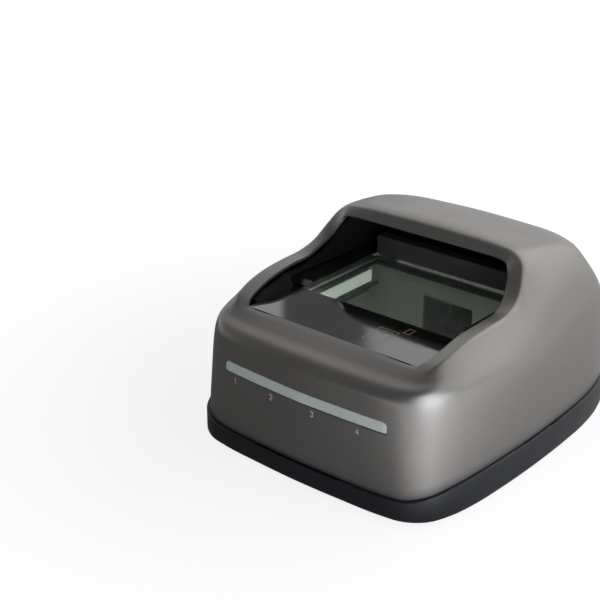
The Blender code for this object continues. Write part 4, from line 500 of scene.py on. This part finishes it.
# Leads and ribbon
# A flat white ribbon runs from the camera to the main board, and grey sleeved leads feed the lamps.
# The leads are soft round cable pressed into small plug headers.
dress(["camera_ribbon"],
      frosted_finish("ribbon_white", (0.58, 0.58, 0.55), (0.72, 0.72, 0.68), 0.45, 1400.0))
dress(["indicator_lead", "left_lamp_lead", "right_lamp_lead"],
      moulded_finish("lead_sleeve", (0.12, 0.12, 0.125), 0.55, 1200.0, 0.00004))

# Platen frame
# The black frame that carries the glass and the front panel and fills the foot of each rail.
# Finely grained black plastic, screwed down into the optical chamber's flange.
dress(["platen_frame"],
      tune(moulded_finish("frame_black", (0.008, 0.009, 0.010), 0.75, 1500.0, 0.00003),
           Specular_IOR_Level=0.12))
dress(["frame_screw_" + corner for corner in corners],
      plated_finish("frame_screw_steel", (0.58, 0.58, 0.58), 0.24))
dress(["glass_gasket"],
      moulded_finish("gasket_rubber", (0.014, 0.014, 0.014), 0.85, 1300.0, 0.00008))
dress(["document_sensor"],
      moulded_finish("sensor_black", (0.010, 0.008, 0.010), 0.12, 900.0, 0.00001, coat=0.6))
dress(["reference_strip"],
      frosted_finish("strip_white", (0.46, 0.52, 0.47), (0.54, 0.60, 0.55), 0.6))

# Front panel
# A gloss black plate in front of the glass, where the page is laid before it goes under the hood.
# It is polished acrylic, with wipe marks that only show in its reflections.


def polished_finish(name, colour, roughness, index=1.5):
    material, tree, shader = bare_material(name)
    marks = use_group(tree, handling_marks, Scale=11.0)
    texture = use_group(tree, mould_grain, Scale=240.0, Unevenness=1.0)
    light = [c * 1.6 + 0.002 for c in colour]
    body = two_tone(tree, marks.outputs["Smudge"], colour, light)
    tree.links.new(dusted(tree, body, marks.outputs["Dust"], 0.05), shader.inputs["Base Color"])
    tree.links.new(level(tree, marks.outputs["Smudge"], 0.0, 1.0, roughness, roughness + 0.07),
                   shader.inputs["Roughness"])
    shader.inputs["IOR"].default_value = index
    relief(tree, shader, 0.08, 0.00002, texture.outputs["Height"])
    return material


dress(["front_panel"], polished_finish("panel_black", (0.010, 0.010, 0.010), 0.04, 2.1))

# Scan glass
# A 4 mm sheet of faintly green float glass on which the open page lies face down.
# It rests on a thin rubber gasket, held by the front panel, the guide bars and the rear stop.


def float_glass_finish():
    material, tree, shader = bare_material("clear_glass")
    marks = use_group(tree, handling_marks, Scale=14.0)
    tree.links.new(two_tone(tree, marks.outputs["Smudge"], (0.78, 0.83, 0.77), (0.82, 0.86, 0.81)),
                   shader.inputs["Base Color"])
    tree.links.new(level(tree, marks.outputs["Smudge"], 0.0, 1.0, 0.02, 0.08),
                   shader.inputs["Roughness"])
    shader.inputs["Transmission Weight"].default_value = 0.95
    shader.inputs["IOR"].default_value = 1.52
    return material


dress(["scan_glass"], float_glass_finish())

# Page guides and rear stop
# Two low gloss black bars stand 130 mm apart, so that a page slides straight in between them.
# A taller dark grey bar across the back stops the page and hides the rear edge of the glass.
dress(["left_guide", "right_guide"],
      polished_finish("guide_black", (0.012, 0.012, 0.012), 0.07, 1.6))
dress(["rear_stop"], moulded_finish("stop_grey", (0.075, 0.075, 0.072), 0.42, 1400.0, 0.00002))

# Hood liner
# The dark inner shell of the hood, which keeps room light off the glass.
# It is one matt black moulding inside the cover, resting on the platen frame.
dress(["hood_liner"], moulded_finish("liner_black", (0.010, 0.010, 0.011), 0.5, 1300.0, 0.00004))

# Rear panel and its fittings
# A black plate in the back with a square data socket, a round power socket and a rocker switch.
# The sockets sit on an upright board behind it, and the rocker swings on two pins in its housing.
dress(["rear_panel"],
      moulded_finish("rear_panel_black", (0.018, 0.018, 0.019), 0.5, 1100.0, 0.00006))
dress(["usb_socket"], plated_finish("socket_steel", (0.60, 0.61, 0.62), 0.2))
dress(["power_jack"], moulded_finish("jack_black", (0.014, 0.014, 0.015), 0.4, 1500.0, 0.00004))
dress(["switch_housing"],
      moulded_finish("switch_black", (0.016, 0.016, 0.017), 0.38, 1500.0, 0.00004))
dress(["power_rocker"], polished_finish("rocker_black", (0.012, 0.012, 0.013), 0.16))

# Light bar
# A frosted strip in the sloping front that glows faintly, with four lamps on a board behind it.
# It is milky acrylic with a fine etched skin, let into a slot with a dark gap along its edge.
dress(["light_bar"],
      tune(frosted_finish("frosted_light", (0.62, 0.69, 0.64), (0.72, 0.79, 0.74), 0.34),
           Emission_Color=(0.90, 1.0, 0.94, 1.0), Emission_Strength=0.09))

# Upper cover
# One large moulding: a sloping front, a low rail at each side of the platen, and a hood at its back.
# It is plastic with a fine metallic grey paint, and its wall turns in at the edge of the opening.

# Each line runs round the right half in millimetres, from the front centre to the rear centre.
# The seam line gives width, depth and how far the edge has risen towards the sides.
seam_line = [(0, 0, 0), (37, 1, 0), (66, 2.8, 0), (84, 6.5, 0.07), (96, 16, 0.42),
             (102.7, 31, 0.78), (107, 53, 0.96), (109.3, 80, 1), (110.5, 104, 1), (110.9, 121, 1),
             (111, 139, 1), (110.6, 162, 1), (109.2, 189, 1), (104.5, 217, 0.96),
             (95.5, 240, 0.7), (77, 254.5, 0.2), (43, 261, 0), (0, 262, 0)]
belt_line = [(0, 4.6, 83), (37, 5.4, 83), (65, 7.2, 83), (80.5, 11.3, 83.5), (91, 20.5, 85),
             (98, 34.5, 87), (102.3, 55.5, 86.8), (104.6, 81.5, 85.8), (105.2, 104, 85),
             (105.2, 120, 85), (104.3, 138, 86.5), (102, 158, 90.5), (99.5, 183, 95),
             (97.5, 211, 96), (91.5, 233, 93), (73.5, 245.5, 91), (41, 250.5, 90.5),
             (0, 251.3, 90.5)]
shoulder_line = [(0, 18.5, 91), (37, 19, 91), (67.5, 20.5, 91.2), (81.5, 23, 92),
                 (88.4, 30.1, 94.2), (92.8, 41.4, 96.2), (95.6, 60.5, 98.2), (97.2, 85, 98.6),
                 (97.3, 106.3, 99.4), (95.8, 121, 103.6), (90.6, 135, 115.2), (85.2, 149, 127.8),
                 (81, 168, 134.0), (80, 194, 132.6), (76.8, 207.5, 130.6), (60, 213, 132.0),
                 (31, 214.5, 132.9), (0, 214.8, 133.4)]
crease_line = [(0, 29.5, 95.6), (37, 29.5, 95.6), (69, 29.8, 95.9), (79.5, 31, 97.2),
               (84.5, 36.5, 101), (87, 47, 104.8), (88.5, 65, 108.8), (89.5, 88, 110.6),
               (89.4, 108, 111.6), (87.4, 122.5, 116.6), (83.2, 133.6, 127.6), (78, 140, 136.4),
               (70.2, 141, 141.6), (58, 140.3, 144), (45, 140, 145.1), (30, 140, 145.4),
               (15, 140, 145.6), (0, 140, 145.6)]
rim_line = [(0, 33, 96.9), (37, 33, 96.9), (70, 33, 97), (74, 35.5, 99), (76, 41, 101),
            (77.5, 51, 104), (78.6, 68, 108), (80, 90, 109.8), (80, 108, 110.5), (79, 117.5, 115),
            (76, 127, 121), (73, 132.5, 128.5), (69.5, 135, 135), (60, 135.4, 136.8),
            (47, 135.4, 137), (32, 135.4, 137), (16, 135.4, 137), (0, 135.4, 137)]
side_swells = [2.2, 2.2, 2.2, 2.2, 1.54, 0.44, 0.44, 0.44, 0.44, 0.77, 1.32, 1.76, 2.2, 2.2, 2.2,
               2.2, 2.2, 2.2]
top_swells = [0.0, 0.0, 0.0, 0.0, 0.0, 0.0, 0.0, 0.0, 0.0, 0.0, 0.64, 1.28, 1.6, 1.6, 1.6, 1.6,
              1.6, 1.6]
seam_height = 15.7
side_rise = 8.3
cover_wall = 0.0024
lower_share, lower_swell = 0.46, 0.0009
under_share, under_swell = 0.88, 0.0012
side_share = 0.5
top_share = 0.62
fold_before_share = 0.11
fold_after_share = 0.22
paint_colour = (0.278, 0.267, 0.256)


def placed(x, y, z):
    """Metres from millimetres, with the depth counted from the front edge."""
    return Vector((x, y - 131.0, z + 2.0)) / 1000.0


def pushed(point, heart, amount):
    return point + (point - heart).normalized() * amount


def cover_profile(k):
    """Outer surface at one station, from the seam up to the edge of the opening."""
    x, y, lift = seam_line[k]
    seam = placed(x, y, seam_height + side_rise * lift)
    belt, shoulder, crease, rim = [placed(*line[k])
                                   for line in (belt_line, shoulder_line, crease_line, rim_line)]
    heart = Vector((0.0, (seam.y + rim.y) / 2, belt.z))
    floor_heart = placed(0, 131, seam_height)
    lower = pushed(seam.lerp(belt, lower_share), heart, lower_swell)
    under = pushed(seam.lerp(belt, under_share), heart, under_swell)
    side = pushed(belt.lerp(shoulder, side_share), floor_heart, side_swells[k] / 1000)
    top = pushed(shoulder.lerp(crease, top_share), floor_heart, top_swells[k] / 1000)
    before_fold = crease.lerp(top, fold_before_share)
    after_fold = crease.lerp(rim, fold_after_share)
    return [seam, lower, under, belt, side, shoulder, top, before_fold, after_fold, rim]


def curve_point(before, start, end, after, share):
    """Point between start and end on the smooth curve through four points."""
    t0 = 0.0
    t1 = t0 + max((start - before).length, 1e-9) ** 0.5
    t2 = t1 + max((end - start).length, 1e-9) ** 0.5
    t3 = t2 + max((after - end).length, 1e-9) ** 0.5
    t = t1 + (t2 - t1) * share
    a1 = before.lerp(start, (t - t0) / (t1 - t0))
    a2 = start.lerp(end, (t - t1) / (t2 - t1))
    a3 = end.lerp(after, (t - t2) / (t3 - t2))
    b1 = a1.lerp(a2, (t - t0) / (t2 - t0))
    b2 = a2.lerp(a3, (t - t1) / (t3 - t1))
    return b1.lerp(b2, (t - t1) / (t2 - t1))


def smooth_line(points, steps, closed):
    count = len(points)
    result = []
    for k in range(count if closed else count - 1):
        start = points[k]
        end = points[(k + 1) % count]
        before = points[k - 1] if closed or k else start * 2 - end
        after = points[(k + 2) % count] if closed or k + 2 < count else end * 2 - start
        result += [curve_point(before, start, end, after, step / steps) for step in range(steps)]
    return result if closed else result + [points[-1].copy()]


def cover_rows():
    """Rows of points round the whole cover, from the seam up to the edge of the opening."""
    half = [cover_profile(k) for k in range(len(seam_line))]
    left = [[Vector((-p.x, p.y, p.z)) for p in half[k]] for k in range(len(half) - 2, 0, -1)]
    profiles = [smooth_line(profile, 4, False) for profile in half + left]
    return [smooth_line([profile[r] for profile in profiles], 5, True)
            for r in range(len(profiles[0]))]


def wrapped_faces(rows):
    count = len(rows[0])
    return [(r * count + s, r * count + (s + 1) % count,
             (r + 1) * count + (s + 1) % count, (r + 1) * count + s)
            for r in range(len(rows) - 1) for s in range(count)]


def new_piece(name, points, faces, material):
    mesh = bpy.data.meshes.new(name)
    mesh.from_pydata([tuple(p) for p in points], [], faces)
    mesh.update()
    item = bpy.data.objects.new(name, mesh)
    bpy.context.scene.collection.objects.link(item)
    mesh.materials.append(material)
    return item


def settle(item):
    """Bakes the modifiers into the mesh."""
    bpy.context.view_layer.update()
    graph = bpy.context.evaluated_depsgraph_get()
    item.data = bpy.data.meshes.new_from_object(item.evaluated_get(graph))
    item.modifiers.clear()


def prism(name, outline, shift):
    """Closed block between an outline and the same outline moved by shift."""
    count = len(outline)
    points = [Vector(p) for p in outline] + [Vector(p) + Vector(shift) for p in outline]
    sides = [(k, (k + 1) % count, count + (k + 1) % count, count + k) for k in range(count)]
    ends = [tuple(range(count))[::-1], tuple(range(count, count * 2))]
    item = new_piece(name, points, sides + ends, cover_paint)
    tidy = bmesh.new()
    tidy.from_mesh(item.data)
    bmesh.ops.recalc_face_normals(tidy, faces=tidy.faces)
    tidy.to_mesh(item.data)
    tidy.free()
    return item


def carve(item, cutter):
    """Cuts one closed block out of a piece and throws the block away."""
    cutting = item.modifiers.new("cut", "BOOLEAN")
    cutting.operation = "DIFFERENCE"
    cutting.solver = "MANIFOLD"
    cutting.object = cutter
    settle(item)
    bpy.data.objects.remove(cutter)


def make_paint_flake():
    """Very fine bright flakes and a soft ripple, as sprayed metallic paint dries."""
    tree, given, result = group_tree("paint_flake", [("Scale", 7000.0)],
                                     ["Glint", "Ripple", "Drift"])
    where = tree.nodes.new("ShaderNodeTexCoord").outputs["Object"]
    cells = wire(tree, "ShaderNodeTexVoronoi", None, Vector=where, Scale=given.outputs["Scale"])
    apart = wire(tree, "ShaderNodeSeparateColor", None, Color=cells.outputs["Color"])
    ripple = wire(tree, "ShaderNodeTexNoise", None, Vector=where,
                  Scale=reckon(tree, "MULTIPLY", given.outputs["Scale"], 0.12), Detail=2.0)
    drift = wire(tree, "ShaderNodeTexNoise", None, Vector=where, Scale=7.0, Detail=2.0)
    tree.links.new(level(tree, apart.outputs[0], 0.4, 1.0, 0.0, 1.0), result.inputs["Glint"])
    tree.links.new(ripple.outputs["Fac"], result.inputs["Ripple"])
    tree.links.new(drift.outputs["Fac"], result.inputs["Drift"])
    return tree


paint_flake = make_paint_flake()


def metallic_paint_finish():
    material, tree, shader = bare_material("cover_paint")
    flake = use_group(tree, paint_flake, Scale=7000.0)
    marks = use_group(tree, handling_marks, Scale=13.0)
    dark = [c * 0.88 for c in paint_colour]
    light = [c * 1.16 for c in paint_colour]
    tone = reckon(tree, "ADD", reckon(tree, "MULTIPLY", flake.outputs["Glint"], 0.40),
                  reckon(tree, "MULTIPLY", flake.outputs["Drift"], 0.60))
    body = two_tone(tree, tone, dark, light)
    tree.links.new(dusted(tree, body, marks.outputs["Dust"], 0.06), shader.inputs["Base Color"])
    shader.inputs["Metallic"].default_value = 0.85
    rough = reckon(tree, "ADD", level(tree, flake.outputs["Glint"], 0.0, 1.0, 0.43, 0.39),
                   reckon(tree, "MULTIPLY", marks.outputs["Smudge"], 0.03))
    tree.links.new(rough, shader.inputs["Roughness"])
    relief(tree, shader, 0.10, 0.00002, flake.outputs["Ripple"])
    return material


cover_paint = metallic_paint_finish()


def soften(item, angle):
    """Smooth shading that keeps every edge sharper than the angle."""
    mesh = bmesh.new()
    mesh.from_mesh(item.data)
    for face in mesh.faces:
        face.smooth = True
    for edge in mesh.edges:
        edge.smooth = len(edge.link_faces) == 2 and edge.calc_face_angle(0.0) < angle
    mesh.to_mesh(item.data)
    mesh.free()


platen_gap = [(-0.072, -0.098), (0.072, -0.098), (0.072, -0.0499), (-0.072, -0.0499)]
platen_gap_low = 0.085
platen_gap_height = 0.062
bar_gap = [(-0.0696, 0.0605), (0.0696, 0.0605), (0.0693, 0.0662), (0.0683, 0.0682),
           (0.0664, 0.0690), (-0.0664, 0.0690), (-0.0683, 0.0682), (-0.0693, 0.0662)]
bar_gap_front = -0.14
bar_gap_depth = 0.022
port_gap = [(-0.046, 0.0222), (0.046, 0.0222), (0.046, 0.0422), (-0.046, 0.0422)]
port_gap_front = 0.12
port_gap_depth = 0.02
cover_edge = 0.0005


def make_cover():
    """The cover's skin, thickened inward, with its openings cut through."""
    rows = cover_rows()
    points = [p for row in rows for p in row]
    item = new_piece("painted_cover", points, wrapped_faces(rows), cover_paint)
    wall = item.modifiers.new("wall", "SOLIDIFY")
    wall.thickness = cover_wall
    wall.offset = -1.0
    wall.use_even_offset = True
    edge = item.modifiers.new("edge", "BEVEL")
    edge.width = cover_edge
    edge.segments = 2
    edge.limit_method = "ANGLE"
    edge.angle_limit = math.radians(60)
    settle(item)
    carve(item, prism("platen_gap", [(x, y, platen_gap_low) for x, y in platen_gap],
                      (0, 0, platen_gap_height)))
    carve(item, prism("bar_gap", [(x, bar_gap_front, z) for x, z in bar_gap],
                      (0, bar_gap_depth, 0)))
    carve(item, prism("port_gap", [(x, port_gap_front, z) for x, z in port_gap],
                      (0, port_gap_depth, 0)))
    soften(item, math.radians(38))
    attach(item, housing)
    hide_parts("upper_cover")
    return item


painted_cover = make_cover()

# Tray skirt
# The visible side of the base tray: an upright band with a rounded hem and a fine edge at the seam.
# It is the outer face of the charcoal moulding and shows the same spark-eroded skin.
tray_hem = [(0.0035, 0.0), (0.0018, 0.0004), (0.0007, 0.0013), (0.0001, 0.0025), (0.0, 0.0036),
            (0.0, 0.0050)]
tray_edge = [(0.0001, -0.0008), (0.0003, -0.0003), (0.0006, 0.0), (0.0020, 0.0)]
tray_stand = 0.002
tray_height = 0.0152
tray_proud = 0.00243


def make_tray_skirt():
    half = [placed(x, y, side_rise * lift) for x, y, lift in seam_line]
    loop = smooth_line(half + [Vector((-p.x, p.y, p.z)) for p in half[-2:0:-1]], 6, True)
    count = len(loop)
    outward = []
    for k in range(count):
        run = loop[(k + 1) % count] - loop[k - 1]
        outward.append(Vector((run.y, -run.x, 0.0)).normalized())
    rows = []
    for inset, height in tray_hem:
        rows.append([Vector((p.x, p.y, tray_stand + height)) + way * (tray_proud - inset)
                     for p, way in zip(loop, outward)])
    for inset, drop in tray_edge:
        rows.append([Vector((p.x, p.y, p.z + tray_height + drop)) + way * (tray_proud - inset)
                     for p, way in zip(loop, outward)])
    points = [p for row in rows for p in row]
    item = new_piece("tray_skirt", points, wrapped_faces(rows), tray_plastic)
    soften(item, math.radians(50))
    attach(item, housing)


make_tray_skirt()

# Printed marks
# Four white numerals are pad-printed under the light bar, one for each lamp behind it.
# The ink is a thin matt skin that follows the curve of the painted front.
numeral_strokes = [
    [[(0.15, 0.76), (0.5, 1.0), (0.5, 0.0)]],
    [[(0.06, 0.76), (0.22, 0.95), (0.5, 1.0), (0.8, 0.92), (0.9, 0.7), (0.7, 0.42), (0.05, 0.0),
      (0.95, 0.0)]],
    [[(0.08, 0.88), (0.4, 1.0), (0.78, 0.93), (0.85, 0.73), (0.68, 0.55), (0.38, 0.54)],
     [(0.68, 0.55), (0.92, 0.32), (0.8, 0.08), (0.42, 0.0), (0.05, 0.12)]],
    [[(0.72, 0.0), (0.72, 1.0), (0.02, 0.3), (0.98, 0.3)]]]
numeral_places = [-0.0590, -0.0250, 0.0110, 0.0475]
numeral_low = 0.0544
numeral_width = 0.0026
numeral_height = 0.0038
numeral_shift = 0.0012
stroke_width = 0.00085
ink_lift = 0.00005
foil_lift = 0.00004
foil_width = 0.0005
foil_outlines = [(0.0185, -0.0865, 0.0345, -0.0655), (0.0215, -0.0835, 0.0315, -0.0685),
                 (0.0355, -0.0640, 0.0405, -0.0560)]


def stroke_points(strokes, corner, width, height, thickness):
    """Left and right edge points of each stroke, flat in the plane of x and z."""
    pairs = []
    for stroke in strokes:
        dots = [Vector((corner[0] + s * width, corner[1] + t * height)) for s, t in stroke]
        line = []
        for k, dot in enumerate(dots):
            ahead = dots[min(k + 1, len(dots) - 1)] - dot
            behind = dot - dots[max(k - 1, 0)]
            way = (ahead.normalized() + behind.normalized()).normalized()
            side = Vector((-way.y, way.x)) * thickness / 2
            line.append((dot + side, dot - side))
        pairs.append(line)
    return pairs


def printed_finish(name, colour, metallic, roughness):
    """Printed ink or foil with a faint uneven tone."""
    material, tree, shader = bare_material(name)
    texture = use_group(tree, mould_grain, Scale=2600.0, Unevenness=0.3)
    body = two_tone(tree, texture.outputs["Tone"], [c * 0.9 for c in colour], colour)
    tree.links.new(body, shader.inputs["Base Color"])
    shader.inputs["Metallic"].default_value = metallic
    tree.links.new(level(tree, texture.outputs["Tone"], 0.3, 0.7, roughness, roughness + 0.1),
                   shader.inputs["Roughness"])
    return material


def make_numerals():
    cover_tree = BVHTree.FromObject(painted_cover, bpy.context.evaluated_depsgraph_get())
    points = []
    faces = []
    for place, strokes in zip(numeral_places, numeral_strokes):
        corner = (place - numeral_shift, numeral_low)
        for line in stroke_points(strokes, corner, numeral_width, numeral_height, stroke_width):
            start = len(points)
            for pair in line:
                for dot in pair:
                    before = Vector((dot.x, -0.2, dot.y))
                    hit, normal, *_ = cover_tree.ray_cast(before, Vector((0, 1, 0)))
                    points.append(hit + normal * ink_lift)
            faces += [(start + 2 * k, start + 2 * k + 2, start + 2 * k + 3, start + 2 * k + 1)
                      for k in range(len(line) - 1)]
    ink = printed_finish("white_ink", (0.98, 0.98, 0.96), 0.0, 0.6)
    item = new_piece("printed_numerals", points, faces, ink)
    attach(item, housing)


make_numerals()


def make_foil_frame():
    """Plain rectangular outlines in gold foil on the front panel."""
    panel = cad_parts["front_panel"]
    top = max((panel.matrix_world @ Vector(c)).z for c in panel.bound_box) + foil_lift
    points = []
    faces = []
    for x0, y0, x1, y1 in foil_outlines:
        start = len(points)
        for x, y in ((x0, y0), (x1, y0), (x1, y1), (x0, y1)):
            points.append((x, y, top))
            points.append((x + (foil_width if x == x0 else -foil_width),
                           y + (foil_width if y == y0 else -foil_width), top))
        faces += [(start + 2 * k, start + (2 * k + 2) % 8,
                   start + (2 * k + 3) % 8, start + 2 * k + 1) for k in range(4)]
    foil = printed_finish("gold_foil", (0.50, 0.42, 0.26), 0.3, 0.4)
    item = new_piece("foil_frame", points, faces, foil)
    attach(item, housing)


make_foil_frame()
